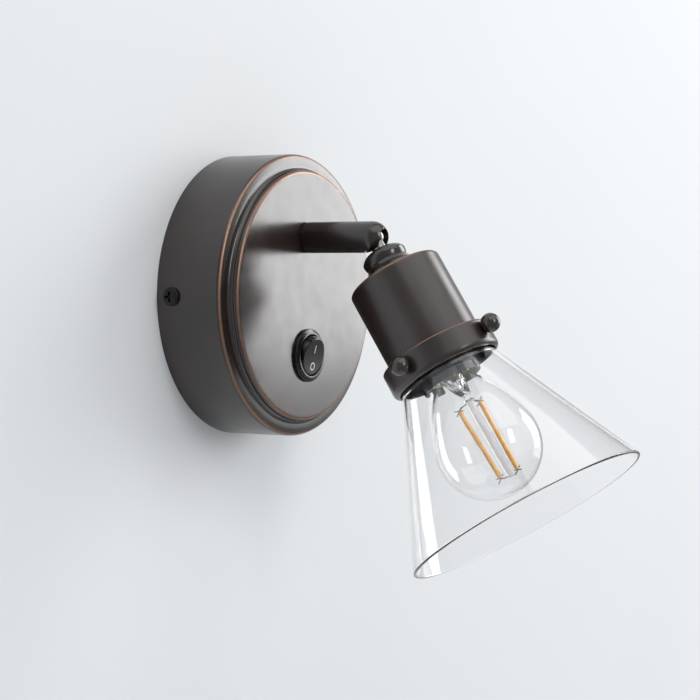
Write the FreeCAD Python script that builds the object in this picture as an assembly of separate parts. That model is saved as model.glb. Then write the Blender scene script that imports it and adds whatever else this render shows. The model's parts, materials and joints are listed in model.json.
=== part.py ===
import FreeCAD, Part
import math
import os
from FreeCAD import Vector

# Bedside wall reading lamp: a round canopy with a rocker switch, a short arm with a slotted
# ball joint, a drum cup over the lampholder, and a conical clear glass shade with its bulb.
# Millimetres. The wall is the plane Y = 0, the lamp stands out along -Y, and +Z is up.
# The origin is the centre of the canopy on the wall. "Depth" is the distance from the wall.
# The head is drawn upright about its own axis, with "height" measured from the ball's centre
# towards the shade's mouth, and is then tilted into place.

# ---- Driving dimensions ------------------------------------------------------------------
FACE_FIT = 0.05          # radial clearance of a turned or threaded fit
SEAT_GAP = 0.3           # air left between curved pieces that rest near each other

# Canopy, spun from sheet steel
CANOPY_RADIUS = 63.5
PLATE_DEPTH = 37.2       # wall to the raised plate's face
STEP_WIDTH = 7.2         # rim to the raised plate
STEP_HEIGHT = 5.2        # rim's outer edge to the plate's face
SHEET = 1.2
RIM_ROUND = 1.7
LEDGE_RISE = 0.8         # the ledge swells this much from the rim to the cove
COVE_RADIUS = 2.0
PLATE_ROUND = 1.8
RIM_DEPTH = PLATE_DEPTH - STEP_HEIGHT
PLATE_RADIUS = CANOPY_RADIUS - STEP_WIDTH

# Wall bracket
BRACKET_SHEET = 1.5
BRACKET_WIDTH = 18.0
TAB_CLEARANCE = 0.9      # canopy wall to the bracket's bent tab
TAB_LENGTH = 13.0
TAB_WIDTH = 14.0
SIDE_SCREW_DEPTH = 7.9
WALL_SLOT_SPACING = 88.9
WALL_SLOT_LENGTH = 14.0
WALL_SLOT_RADIUS = 2.3
CABLE_HOLE_RADIUS = 6.0

# Canopy side screws and earth screw (M4)
SCREW_RADIUS = 2.0
SCREW_HEAD_RADIUS = 4.1
SCREW_HEAD_HEIGHT = 2.2
SCREW_DOME_RADIUS = 7.8
SIDE_SCREW_LENGTH = 9.0
SCREW_HOLE_CLEARANCE = 0.2
RECESS_WIDTH = 1.1
RECESS_SPAN = 4.6
RECESS_DEPTH = 1.3
EARTH_SCREW_X = -24.0
TAG_SHEET = 0.75
TAG_REACH = 10.6         # earth screw's centre to the far end of the tag's crimp
TAG_CRIMP = 3.0
CRIMP_WALL = 0.33

# Terminal block
BLOCK_CENTRE_X = 24.0
POLE_PITCH = 8.0
POLE_COUNT = 3
BLOCK_HEIGHT = 17.0
BLOCK_DEPTH = 12.0
BARREL_RADIUS = 2.9
BARREL_BORE = 1.5
BARREL_SET_BACK = 1.5    # block's end to the barrel inside it
CLAMP_SCREW_RADIUS = 1.5
CLAMP_SCREW_SPREAD = 4.3
CLAMP_SCREW_SUNK = 1.0
CLAMP_GROOVE_DEPTH = 0.6
CLAMP_GROOVE_WIDTH = 0.5

# Wires
WIRE_RADIUS = 1.1
WIRE_PAIR_GAP = 0.1      # each of a pair of wires to the middle between them
WIRE_GRIP = 4.0          # length of a wire held in its terminal
WIRE_LANE_X = 44.0       # the wires' way up beside the terminal block
WIRE_LANE_DEPTH = 15.0
WIRE_ROOM = 6.0          # room that a wire takes to turn
LEAD_RADIUS = 0.7

# Rocker switch
SWITCH_DROP = 27.0       # canopy centre down to the switch
BEZEL_RADIUS = 12.0
BEZEL_HEIGHT = 2.2
BEZEL_ROUND = 2.0
BEZEL_LIP = 2.0          # the bezel overhangs its barrel by this
BARREL_WALL = 0.6
PANEL_CLEARANCE = 0.1
SWITCH_BODY_DEPTH = 14.0 # behind the plate's face
ROCKER_WELL = 10.5
ROCKER_THROW = 24.0      # degrees between off and on
ROCKER_GAP = 0.3
ROCKER_PROUD = 1.1       # the middle of the level rocker stands this far out of the bezel
ROCKER_DISH = 1.0        # the rocker's ends stand this far above its middle
ROCKER_CHEEK = 1.0       # window's edge to the rocker's straight side
ROCKER_BELOW_PIVOT = 4.5
PIVOT_BELOW_BEZEL = 1.8
PIVOT_PIN_RADIUS = 0.9
BLADE_WIDTH = 6.3
BLADE_SHEET = 0.8
BLADE_LENGTH = 7.0
BLADE_SEAT = 4.8         # length of a blade held in the housing's floor
BLADE_PITCH = 7.0
RECEPTACLE_WALL = 0.7
RECEPTACLE_SHORT = 1.0   # the sleeve is shorter than its blade by this
FLAG_LENGTH = 2.0
FLAG_SIZE = 3.1
BARREL_OUTER = BEZEL_RADIUS - BEZEL_LIP
WINDOW_RADIUS = BARREL_OUTER - BARREL_WALL

# Arm
ARM_HEIGHT = 26.0        # canopy centre up to the arm's axis
ARM_RADIUS = 7.0
ARM_WALL = 1.93
ARM_CHAMFER = 0.6
BALL_REACH = 71.1        # wall to the ball's centre
NIPPLE_WALL = 1.6
NIPPLE_TAIL = 12.0       # behind the plate's inner face
PLATE_HOLE_CLEARANCE = 0.3
GLIDE_SHEET = 0.6
STOP_WASHER_SHEET = 1.3
STOP_WASHER_RADIUS = 8.5
STOP_TAB_WIDTH = 1.6
STOP_PIN_RADIUS = 1.1
STOP_PIN_GAP = 1.4       # washer's edge to the stop pin
STOP_PIN_LENGTH = 4.5
SPRING_WASHER_SHEET = 1.0
SPRING_WASHER_RADIUS = 7.8
NUT_HEIGHT = 4.0
NUT_FLATS = 14.0
BUSH_SET_BACK = 3.6      # ball's centre to the bush's front
BUSH_LENGTH = 5.0
BUSH_BORE = 2.7
SPRING_STACK = 4.5
DISC_SPRINGS = 4
DISC_SPRING_SHEET = 0.5
ARM_BORE = ARM_RADIUS - ARM_WALL
NIPPLE_RADIUS = ARM_BORE - FACE_FIT
NIPPLE_BORE = NIPPLE_RADIUS - NIPPLE_WALL
STOP_DISTANCE = STOP_WASHER_RADIUS + STOP_PIN_GAP + STOP_PIN_RADIUS
BUSH_FRONT = BALL_REACH - BUSH_SET_BACK
BUSH_REAR = BUSH_FRONT - BUSH_LENGTH
NIPPLE_REACH = BUSH_REAR - SPRING_STACK

# Ball joint
BALL_CLEARANCE = 0.07
NECK_RADIUS = 3.3
SLOT_CLEARANCE = 0.4
LEAD_BORE = 1.6
REST_TILT = 57.4         # the head's axis below level, as photographed
LOWEST_TILT = 0.0        # straight out from the wall
HIGHEST_TILT = 90.0      # straight down
BALL_RADIUS = ARM_BORE - BALL_CLEARANCE

# Collar, turned in one piece with its hollow threaded stem (M10)
COLLAR_GAP = 0.3         # arm's dome to the collar
COLLAR_TOP_RADIUS = 5.6
COLLAR_BULGE = 10.2
COLLAR_BULGE_DROP = 3.3  # each drop is measured from the collar's top
COLLAR_WAIST = 9.5
COLLAR_WAIST_DROP = 6.4
COLLAR_FOOT = 12.4
COLLAR_FOOT_DROP = 9.7
COLLAR_LENGTH = 12.6
BULGE_ROUND = (1.5, 1.35)  # the bulge's shoulder: in from its widest, and down from the top
WAIST_FULLNESS = 0.2
FOOT_HOLLOW = 0.55
STUD_DROP = 7.9
STEM_RADIUS = 4.9
STEM_LENGTH = 11.1
STEM_WALL = 1.7
COLLAR_TOP = ARM_RADIUS + COLLAR_GAP
STUD_END = COLLAR_TOP + STUD_DROP
STEM_BORE = STEM_RADIUS - STEM_WALL

# Socket cup
CUP_RADIUS = 21.6
CUP_LENGTH = 38.0
CUP_SHEET = 1.0
CUP_ROUND = 1.7
CUP_WASHER_RADIUS = 9.0
CUP_WASHER_SHEET = 1.0
CUP_NUT_HEIGHT = 3.5
CUP_TOP = COLLAR_TOP + COLLAR_LENGTH
STEM_END = CUP_TOP + STEM_LENGTH
CUP_NUT_FOOT = CUP_TOP + CUP_SHEET + CUP_WASHER_SHEET + CUP_NUT_HEIGHT

# Shade fitter
FITTER_OVERHANG = 4.0    # the fitter stands this far out past the cup
FITTER_HEIGHT = 12.1
FITTER_SHEET = 1.2
FITTER_ROUND = 1.0
LIP_ROUND = 2.2
LIP_GAP = 1.5            # rolled lip to the glass
FITTER_TOP = CUP_TOP + CUP_LENGTH
FITTER_FOOT = FITTER_TOP + FITTER_HEIGHT
FITTER_RADIUS = CUP_RADIUS + FITTER_OVERHANG

# Glass shade
SHADE_FIT = 3.2          # fitter's outside to the glass neck's outside
GLASS = 1.8
NECK_LENGTH = 8.4        # of the straight glass neck, from under the fitter's roof
BEND_LENGTH = 4.2
BEND_FLARE = 0.7
MOUTH_RADIUS = 54.4
CONE_LENGTH = 68.4
NECK_GLASS_RADIUS = FITTER_RADIUS - SHADE_FIT
LIP_RADIUS = NECK_GLASS_RADIUS + LIP_GAP
SHADE_TOP = FITTER_TOP + FITTER_SHEET + SEAT_GAP
SHADE_NECK_END = SHADE_TOP + NECK_LENGTH
CONE_START = SHADE_NECK_END + BEND_LENGTH
CONE_START_RADIUS = NECK_GLASS_RADIUS + BEND_FLARE
MOUTH_HEIGHT = CONE_START + CONE_LENGTH

# Thumbscrews
THUMBSCREW_TURNS = (8.0, 139.5, 271.0)  # degrees from the -X side, towards the wall, as photographed
THUMBSCREW_DROP = 4.7    # fitter's roof to the thumbscrews
THUMBSCREW_SHANK = 1.5
THUMBSCREW_NECK = 2.1
THUMBSCREW_BALL = 4.3
THUMBSCREW_STAND_OFF = 3.7
SCREW_TIP_GAP = 0.2
THUMBSCREW_HEIGHT = FITTER_TOP + THUMBSCREW_DROP
THUMBSCREW_BALL_PLACE = FITTER_RADIUS + THUMBSCREW_STAND_OFF

# Lampholder
HOLDER_RADIUS = 13.6
HOLDER_WALL = 1.4
HOLDER_CAP_GAP = 0.6     # cup nut to the holder's cap
HOLDER_CAP_LENGTH = 12.0
HOLDER_NOSE_RADIUS = 7.4
HOLDER_NOSE_LENGTH = 4.0
HOLDER_NOSE_TAPER = 0.6
HOLDER_CAP_SHOULDER = 5.0
HOLDER_CAP_ROUND = (1.8, 1.4)  # the cap's shoulder: in from its widest, and down from its nose
INSERT_DROP = 3.0        # holder body's top edge to the insert
INSERT_LENGTH = 9.0
SHELL_LENGTH = 20.0
SKIRT_DROP = 5.0         # thread shell's mouth to the holder's mouth
SHOULDER_RADIUS = 15.4
SHOULDER_SHEET = 1.6
SHADE_NUT_RADIUS = 17.6
SHADE_NUT_HEIGHT = 3.0
SHADE_NUT_GRIPS = 12
SHADE_NUT_GRIP_RADIUS = 1.0
NOTCH_WIDTH = 9.0
NOTCH_DEPTH = 2.6
TERMINAL_SIZE = 4.0
TERMINAL_OFFSET = 5.5
SHELL_GAP = 0.35         # bulb's cap to the thread shell
SHELL_SHEET = 0.4
CONTACT_RADIUS = 2.2
CONTACT_NOSE = 1.2
CONTACT_HEIGHT = 3.0
HOLDER_CAP_TOP = CUP_NUT_FOOT + HOLDER_CAP_GAP
HOLDER_TOP = HOLDER_CAP_TOP + HOLDER_CAP_LENGTH
INSERT_TOP = HOLDER_TOP + INSERT_DROP
INSERT_FOOT = INSERT_TOP + INSERT_LENGTH
SHELL_MOUTH = INSERT_FOOT + SHELL_LENGTH
HOLDER_MOUTH = SHELL_MOUTH + SKIRT_DROP

# Bulb: a 45 mm globe on a small screw cap
TIP_DEPTH = 1.6
TIP_RADIUS = 3.0
INSULATOR_LENGTH = 4.6
INSULATOR_RADIUS = 6.0
INSULATOR_EDGE = 0.6
CAP_RADIUS = 6.95
CAP_SHEET = 0.4
CAP_LENGTH = 13.0
NECK_IN_CAP = 4.1
BULB_GLASS = 0.8
FLARE_RADIUS = 11.0
FLARE_RISE = 5.4         # each rise is measured from the cap's end
GLOBE_RADIUS = 22.4
GLOBE_RISE = 36.7
GLOBE_MEETS_NECK = 52.0  # degrees from the bulb's axis
PINCH_RISE = 12.4
PINCH_RADIUS = 2.2
PINCH_LENGTH = 3.0
PILLAR_RADIUS = 1.9
FILAMENT_LENGTH = 33.6
FILAMENT_RADIUS = 1.1
FILAMENT_OFFSET = 4.9
FILAMENT_INSET = 1.7     # mean of the pillar's overlap past the filaments' ends
FILAMENT_TURN = 58.0     # degrees from the head's X axis to the line through the filaments
FINE_WIRE = 0.22
NECK_CURVE = (0.5, 1.7)  # the neck's first bend: out from its mean radius, and up from the cap
NECK_HOLLOW = 0.5
STEM_CURVE = 0.9
HOOK_LENGTH = 3.2
HOOK_RISE = 1.0
TIP_HEIGHT = INSERT_FOOT + CONTACT_HEIGHT
INSULATOR_FOOT = TIP_HEIGHT + INSULATOR_LENGTH
CAP_END = INSULATOR_FOOT + CAP_LENGTH
SHELL_RADIUS = CAP_RADIUS + SHELL_GAP
BULB_NECK_START = CAP_END - NECK_IN_CAP
BULB_NECK_RADIUS = CAP_RADIUS - CAP_SHEET - FACE_FIT
FLARE_HEIGHT = CAP_END + FLARE_RISE
GLOBE_CENTRE = CAP_END + GLOBE_RISE
STEM_PINCH = CAP_END + PINCH_RISE
PILLAR_START = STEM_PINCH + PINCH_LENGTH
FILAMENT_START = PILLAR_START + FILAMENT_INSET
FILAMENT_END = FILAMENT_START + FILAMENT_LENGTH
PILLAR_END = FILAMENT_END + FILAMENT_INSET

BALL_CENTRE = Vector(0, -BALL_REACH, ARM_HEIGHT)
X_AXIS, Y_AXIS, Z_AXIS = Vector(1, 0, 0), Vector(0, 1, 0), Vector(0, 0, 1)


# ---- Drawing tools -----------------------------------------------------------------------
class Profile:
    """A closed outline of (radius, height) points that is turned about the upright axis."""

    def __init__(self, radius, height):
        self.start = self.here = Vector(radius, 0, height)
        self.edges = []

    def line(self, radius, height):
        there = Vector(radius, 0, height)
        if there.distanceToPoint(self.here) > 1e-6:
            self.edges.append(Part.LineSegment(self.here, there).toShape())
            self.here = there
        return self

    def arc(self, centre_radius, centre_height, size, start, end):
        """An arc about a centre from one angle to another, degrees from outwards to up."""
        points = []
        for degrees in (start, (start + end) / 2, end):
            turn = math.radians(degrees)
            points.append(Vector(centre_radius + size * math.cos(turn), 0,
                                 centre_height + size * math.sin(turn)))
        self.line(points[0].x, points[0].z)
        self.edges.append(Part.Arc(*points).toShape())
        self.here = points[2]
        return self

    def through(self, mid_radius, mid_height, radius, height):
        """An arc through a middle point to an end point."""
        end = Vector(radius, 0, height)
        self.edges.append(Part.Arc(self.here, Vector(mid_radius, 0, mid_height), end).toShape())
        self.here = end
        return self

    def turned(self):
        self.line(self.start.x, self.start.z)
        face = Part.Face(Part.Wire(self.edges))
        return face.revolve(Vector(0, 0, 0), Z_AXIS, 360)


def ring(outer, inner, bottom, top):
    """An upright round washer or tube."""
    tube = Part.makeCylinder(outer, top - bottom, Vector(0, 0, bottom))
    if inner:
        tube = tube.cut(Part.makeCylinder(inner, top - bottom + 2, Vector(0, 0, bottom - 1)))
    return tube


def hexagon_nut(flats, bore, bottom, height):
    corner = flats / math.sqrt(3)
    corners = [Vector(corner * math.cos(math.radians(60 * i)), corner * math.sin(math.radians(60 * i)), bottom)
               for i in range(7)]
    body = Part.Face(Part.makePolygon(corners)).extrude(Vector(0, 0, height))
    return body.cut(Part.makeCylinder(bore, height + 2, Vector(0, 0, bottom - 1)))


def rod(start, end, radius):
    along = end - start
    return Part.makeCylinder(radius, along.Length, start, along)


def block(centre, size):
    return Part.makeBox(size.x, size.y, size.z, centre - size / 2)


def stand_off(shape, height=0.0, sideways=0.0):
    """Turns an upright shape so that its height runs away from the wall, along -Y."""
    shape = shape.copy()
    shape.rotate(Vector(0, 0, 0), X_AXIS, 90)
    shape.translate(Vector(sideways, 0, height))
    return shape


def place_head(shape):
    """Tilts a piece of the head from its own upright frame to its photographed place."""
    shape = shape.copy()
    shape.rotate(Vector(0, 0, 0), X_AXIS, 90 + REST_TILT)
    shape.translate(BALL_CENTRE)
    return shape


def insulated_wire(name, points, radius):
    """A wire along straight runs, each corner an arc as large as its two runs allow."""
    path, here, bends = [], points[0], []
    for before, corner, after in zip(points, points[1:], points[2:]):
        back, ahead = (before - corner), (after - corner)
        turn = math.pi - back.getAngle(ahead)
        shorter = min(back.Length, ahead.Length)
        bend = 0.45 * shorter / math.tan(turn / 2)
        setback = 0.45 * shorter
        start, end = corner + back.normalize() * setback, corner + ahead.normalize() * setback
        inward = (back + ahead).normalize()
        middle = corner + inward * (bend / math.cos(turn / 2) - bend)
        path += [Part.LineSegment(here, start).toShape(), Part.Arc(start, middle, end).toShape()]
        here = end
        bends.append(round(bend, 1))
    path.append(Part.LineSegment(here, points[-1]).toShape())
    spine = Part.Wire(path)
    section = Part.Wire(Part.makeCircle(radius, points[0], points[1] - points[0]))
    tube = spine.makePipeShell([section], True, False)
    expected = math.pi * radius ** 2 * spine.Length
    print(f"{name}: length {spine.Length:.1f}, bends {bends}, volume {tube.Volume / expected:.3f} of expected")
    return tube


def cross_recess_screw(length):
    """A pan head screw whose seat is at height 0, with its head above."""
    head = ring(SCREW_HEAD_RADIUS, 0, 0, SCREW_HEAD_HEIGHT)
    head = head.common(Part.makeSphere(SCREW_DOME_RADIUS, Vector(0, 0, SCREW_HEAD_HEIGHT - SCREW_DOME_RADIUS)))
    screw = head.fuse(ring(SCREW_RADIUS, 0, -length, 0)).removeSplitter()
    for span, width in ((RECESS_SPAN, RECESS_WIDTH), (RECESS_WIDTH, RECESS_SPAN)):
        screw = screw.cut(block(Vector(0, 0, SCREW_HEAD_HEIGHT), Vector(span, width, 2 * RECESS_DEPTH)))
    return screw


def aim_sideways(shape, side):
    """Turns an upright shape so that its height points along X, to the given side."""
    shape = shape.copy()
    shape.rotate(Vector(0, 0, 0), Y_AXIS, 90 * side)
    return shape


# ---- Canopy and wall fixing ----------------------------------------------------------------
def plate_inner():
    return PLATE_DEPTH - SHEET


def canopy():
    ledge_depth = RIM_DEPTH + LEDGE_RISE
    cove_centre = (PLATE_RADIUS + COVE_RADIUS, ledge_depth + COVE_RADIUS)
    swell_span = CANOPY_RADIUS - RIM_ROUND - cove_centre[0]
    swell_radius = (swell_span ** 2 + LEDGE_RISE ** 2) / (2 * LEDGE_RISE)
    swell_turn = math.degrees(math.asin(swell_span / swell_radius))
    outside = Profile(0, 0).line(CANOPY_RADIUS, 0)
    outside.arc(CANOPY_RADIUS - RIM_ROUND, RIM_DEPTH - RIM_ROUND, RIM_ROUND, 0, 90)
    outside.arc(cove_centre[0], ledge_depth - swell_radius, swell_radius, 90 - swell_turn, 90)
    outside.arc(*cove_centre, COVE_RADIUS, 270, 180)
    outside.arc(PLATE_RADIUS - PLATE_ROUND, PLATE_DEPTH - PLATE_ROUND, PLATE_ROUND, 0, 90)
    outside.line(0, PLATE_DEPTH)
    inside = Profile(0, -1).line(CANOPY_RADIUS - SHEET, -1).line(CANOPY_RADIUS - SHEET, RIM_DEPTH - SHEET)
    inside.arc(*cove_centre, COVE_RADIUS + SHEET, 270, 180)
    inside.line(PLATE_RADIUS - SHEET, plate_inner()).line(0, plate_inner())
    shell = stand_off(outside.turned().cut(inside.turned()))
    arm_hole = stand_off(ring(NIPPLE_RADIUS + PLATE_HOLE_CLEARANCE, 0, RIM_DEPTH, PLATE_DEPTH + 1), ARM_HEIGHT)
    switch_hole = stand_off(ring(BARREL_OUTER + PANEL_CLEARANCE, 0, RIM_DEPTH, PLATE_DEPTH + 1), -SWITCH_DROP)
    outside_wall = Vector(CANOPY_RADIUS + 1, -SIDE_SCREW_DEPTH, 0)
    far_side = outside_wall - X_AXIS * (2 * outside_wall.x)
    side_holes = rod(far_side, outside_wall, SCREW_RADIUS + SCREW_HOLE_CLEARANCE)
    pin_seat = ring(STOP_PIN_RADIUS, 0, RIM_DEPTH, plate_inner() + SHEET / 2)
    pin_hole = stand_off(pin_seat, ARM_HEIGHT + STOP_DISTANCE)
    return shell.cut(Part.makeCompound([arm_hole, switch_hole, side_holes, pin_hole]))


def tab_face():
    return CANOPY_RADIUS - SHEET - TAB_CLEARANCE


def slot(centre_x, radius, length):
    straight = length - 2 * radius
    cut = block(Vector(centre_x, 0, 0), Vector(straight, 4 * BRACKET_SHEET, 2 * radius))
    for end in (-1, 1):
        middle = Vector(centre_x + end * straight / 2, -2 * BRACKET_SHEET, 0)
        cut = cut.fuse(Part.makeCylinder(radius, 4 * BRACKET_SHEET, middle, Y_AXIS))
    return cut


def mounting_bracket():
    half_width = BRACKET_WIDTH / 2
    face = tab_face()
    strap = Part.makeBox(2 * face, BRACKET_SHEET, BRACKET_WIDTH, Vector(-face, -BRACKET_SHEET, -half_width))
    for side in (-1, 1):
        middle = side * (face - BRACKET_SHEET / 2)
        tab = block(Vector(middle, -TAB_LENGTH / 2, 0), Vector(BRACKET_SHEET, TAB_LENGTH, TAB_WIDTH))
        hole = rod(Vector(middle - BRACKET_SHEET, -SIDE_SCREW_DEPTH, 0),
                   Vector(middle + BRACKET_SHEET, -SIDE_SCREW_DEPTH, 0), SCREW_RADIUS + FACE_FIT)
        wall_slot = slot(side * WALL_SLOT_SPACING / 2, WALL_SLOT_RADIUS, WALL_SLOT_LENGTH)
        strap = strap.fuse(tab).cut(hole).cut(wall_slot)
    strap = strap.removeSplitter()
    for x, radius in ((0, CABLE_HOLE_RADIUS), (EARTH_SCREW_X, SCREW_RADIUS + FACE_FIT)):
        strap = strap.cut(Part.makeCylinder(radius, 4 * BRACKET_SHEET, Vector(x, -2 * BRACKET_SHEET, 0), Y_AXIS))
    return strap


def canopy_side_screws():
    screws = []
    for side in (-1, 1):
        screw = aim_sideways(cross_recess_screw(SIDE_SCREW_LENGTH), side)
        screw.translate(Vector(side * CANOPY_RADIUS, -SIDE_SCREW_DEPTH, 0))
        screws.append(screw)
    return Part.makeCompound(screws)


def earth_screw():
    """The earth screw, its head on the ring tag, its tail flush with the bracket's back."""
    seat = BRACKET_SHEET + TAG_SHEET
    return stand_off(cross_recess_screw(seat), 0, EARTH_SCREW_X).translated(Vector(0, -seat, 0))


def earth_ring_tag():
    strip = Part.makeBox(TAG_REACH, 2 * WIRE_RADIUS, TAG_SHEET, Vector(0, -WIRE_RADIUS, 0))
    crimp_width = 2 * (WIRE_RADIUS + CRIMP_WALL)
    crimp_corner = Vector(TAG_REACH - TAG_CRIMP, -crimp_width / 2, 0)
    crimp = Part.makeBox(TAG_CRIMP, crimp_width, 2 * WIRE_RADIUS, crimp_corner)
    tag = ring(SCREW_HEAD_RADIUS, 0, 0, TAG_SHEET).fuse([strip, crimp])
    tag = tag.cut(ring(SCREW_RADIUS + FACE_FIT, 0, -TAG_SHEET, 2 * TAG_SHEET)).removeSplitter()
    return stand_off(tag, 0, EARTH_SCREW_X).translated(Vector(0, -BRACKET_SHEET, 0))


# ---- Terminal block --------------------------------------------------------------------------
def pole_places():
    first = BLOCK_CENTRE_X - POLE_PITCH * (POLE_COUNT - 1) / 2
    return [first + POLE_PITCH * i for i in range(POLE_COUNT)]


def block_middle():
    return BRACKET_SHEET + BLOCK_DEPTH / 2


def terminal_block():
    size = Vector(POLE_PITCH * POLE_COUNT, BLOCK_DEPTH, BLOCK_HEIGHT)
    body = block(Vector(BLOCK_CENTRE_X, -block_middle(), 0), size)
    wells = []
    for x in pole_places():
        wells.append(rod(Vector(x, -block_middle(), -BLOCK_HEIGHT), Vector(x, -block_middle(), BLOCK_HEIGHT),
                         BARREL_RADIUS + FACE_FIT))
        for z in (-CLAMP_SCREW_SPREAD, CLAMP_SCREW_SPREAD):
            wells.append(rod(Vector(x, -block_middle(), z), Vector(x, -BRACKET_SHEET - BLOCK_DEPTH - 1, z),
                             CLAMP_SCREW_RADIUS + SCREW_HOLE_CLEARANCE))
    return body.cut(Part.makeCompound(wells))


def terminal_barrels():
    barrels = []
    length = BLOCK_HEIGHT - 2 * BARREL_SET_BACK
    for x in pole_places():
        centre = Vector(x, -block_middle(), 0)
        low, high = centre - Z_AXIS * (length / 2), centre + Z_AXIS * (length / 2)
        barrel = rod(low, high, BARREL_RADIUS).cut(rod(low - Z_AXIS, high + Z_AXIS, BARREL_BORE))
        for z in (-CLAMP_SCREW_SPREAD, CLAMP_SCREW_SPREAD):
            place = Vector(x, -block_middle(), z)
            barrel = barrel.cut(rod(place, place - Y_AXIS * BLOCK_DEPTH, CLAMP_SCREW_RADIUS + FACE_FIT))
        barrels.append(barrel)
    return Part.makeCompound(barrels)


def terminal_screws():
    screws = []
    for x in pole_places():
        for z in (-CLAMP_SCREW_SPREAD, CLAMP_SCREW_SPREAD):
            inner = Vector(x, -block_middle() - WIRE_RADIUS - FACE_FIT, z)
            outer = Vector(x, -BRACKET_SHEET - BLOCK_DEPTH + CLAMP_SCREW_SUNK, z)
            groove = block(outer, Vector(3 * CLAMP_SCREW_RADIUS, 2 * CLAMP_GROOVE_DEPTH, CLAMP_GROOVE_WIDTH))
            screws.append(rod(inner, outer, CLAMP_SCREW_RADIUS).cut(groove))
    return Part.makeCompound(screws)


# ---- Wires -----------------------------------------------------------------------------------
def arm_entry(offset):
    return ARM_HEIGHT + offset * (WIRE_RADIUS + FACE_FIT + WIRE_PAIR_GAP)


def wire_end_depth():
    return BUSH_REAR - WIRE_RADIUS


def switch_side(blade):
    """Where a wire leaves a switch receptacle: 1 for the upper blade, -1 for the lower."""
    return Vector(receptacle_half_width() + FLAG_LENGTH, -blade_middle_depth(), blade_height(blade))


def pole_end(index, end):
    """A wire's start inside a pole of the terminal block, and the point where it turns outside."""
    x, edge = pole_places()[index], end * BLOCK_HEIGHT / 2
    depth = -block_middle()
    return [Vector(x, depth, edge - end * WIRE_GRIP), Vector(x, depth, edge + end * WIRE_ROOM)]


def live_wire():
    start, turn = pole_end(2, -1)
    end = switch_side(1)
    aside = turn + Vector(-WIRE_ROOM, -WIRE_GRIP, -WIRE_ROOM)
    return insulated_wire("live_wire", [start, turn, aside, end + X_AXIS * (2 * WIRE_GRIP), end], WIRE_RADIUS)


def switched_wire():
    start = switch_side(-1)
    lane, depth = WIRE_LANE_X, -WIRE_LANE_DEPTH
    top = arm_entry(1)
    return insulated_wire("switched_wire", [
        start, start + X_AXIS * (2 * WIRE_ROOM),
        Vector(lane - 2 * WIRE_GRIP, depth, -SWITCH_DROP + BLADE_WIDTH / 2),
        Vector(lane, depth, -WIRE_ROOM), Vector(lane, depth, ARM_HEIGHT - 2 * WIRE_ROOM),
        Vector(lane * 3 / 4, depth, ARM_HEIGHT + WIRE_GRIP), Vector(lane / 3, depth, ARM_HEIGHT + 2 * WIRE_ROOM),
        Vector(0, depth + WIRE_GRIP, ARM_HEIGHT + WIRE_ROOM), Vector(0, depth - WIRE_RADIUS, top),
        Vector(0, -wire_end_depth(), top)], WIRE_RADIUS)


def neutral_wire():
    start, turn = pole_end(1, 1)
    low, depth = arm_entry(-1), -block_middle() - WIRE_GRIP
    return insulated_wire("neutral_wire", [
        start, turn, turn + Vector(-2 * WIRE_GRIP, 0, WIRE_ROOM), Vector(0, depth, ARM_HEIGHT - WIRE_ROOM),
        Vector(0, depth - WIRE_ROOM, low), Vector(0, -wire_end_depth(), low)], WIRE_RADIUS)


def earth_wire():
    start = Vector(EARTH_SCREW_X + TAG_REACH, -BRACKET_SHEET - WIRE_RADIUS, 0)
    end, turn = pole_end(0, -1)
    return insulated_wire("earth_wire", [
        start, start + X_AXIS * WIRE_GRIP, Vector(0, -block_middle(), -WIRE_ROOM),
        Vector(turn.x / 2, turn.y, turn.z), turn, end], WIRE_RADIUS)


# ---- Rocker switch -----------------------------------------------------------------------------
def bezel_depth():
    return PLATE_DEPTH + BEZEL_HEIGHT


def pivot_depth():
    return bezel_depth() - PIVOT_BELOW_BEZEL


def housing_rear():
    return PLATE_DEPTH - SWITCH_BODY_DEPTH


def blade_middle_depth():
    return housing_rear() - BLADE_LENGTH / 2 - RECEPTACLE_SHORT / 2


def receptacle_half_width():
    return BLADE_WIDTH / 2 + RECEPTACLE_WALL


def blade_height(blade):
    return -SWITCH_DROP + blade * BLADE_PITCH / 2


def switch_housing():
    outside = Profile(0, housing_rear()).line(BARREL_OUTER, housing_rear()).line(BARREL_OUTER, PLATE_DEPTH)
    outside.line(BEZEL_RADIUS, PLATE_DEPTH)
    outside.arc(BEZEL_RADIUS - BEZEL_ROUND, bezel_depth() - BEZEL_ROUND, BEZEL_ROUND, 0, 90)
    outside.line(0, bezel_depth())
    well = ring(WINDOW_RADIUS, 0, bezel_depth() - ROCKER_WELL, bezel_depth() + 1)
    body = stand_off(outside.turned().cut(well), -SWITCH_DROP)
    pin = pivot_pin_shape(PIVOT_PIN_RADIUS)
    return body.cut(pin).cut(blade_sheets())


def pivot_pin_shape(radius):
    half = BARREL_OUTER - FACE_FIT
    return rod(Vector(-half, -pivot_depth(), -SWITCH_DROP), Vector(half, -pivot_depth(), -SWITCH_DROP), radius)


def rocker_pivot_pin():
    return pivot_pin_shape(PIVOT_PIN_RADIUS)


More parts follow.
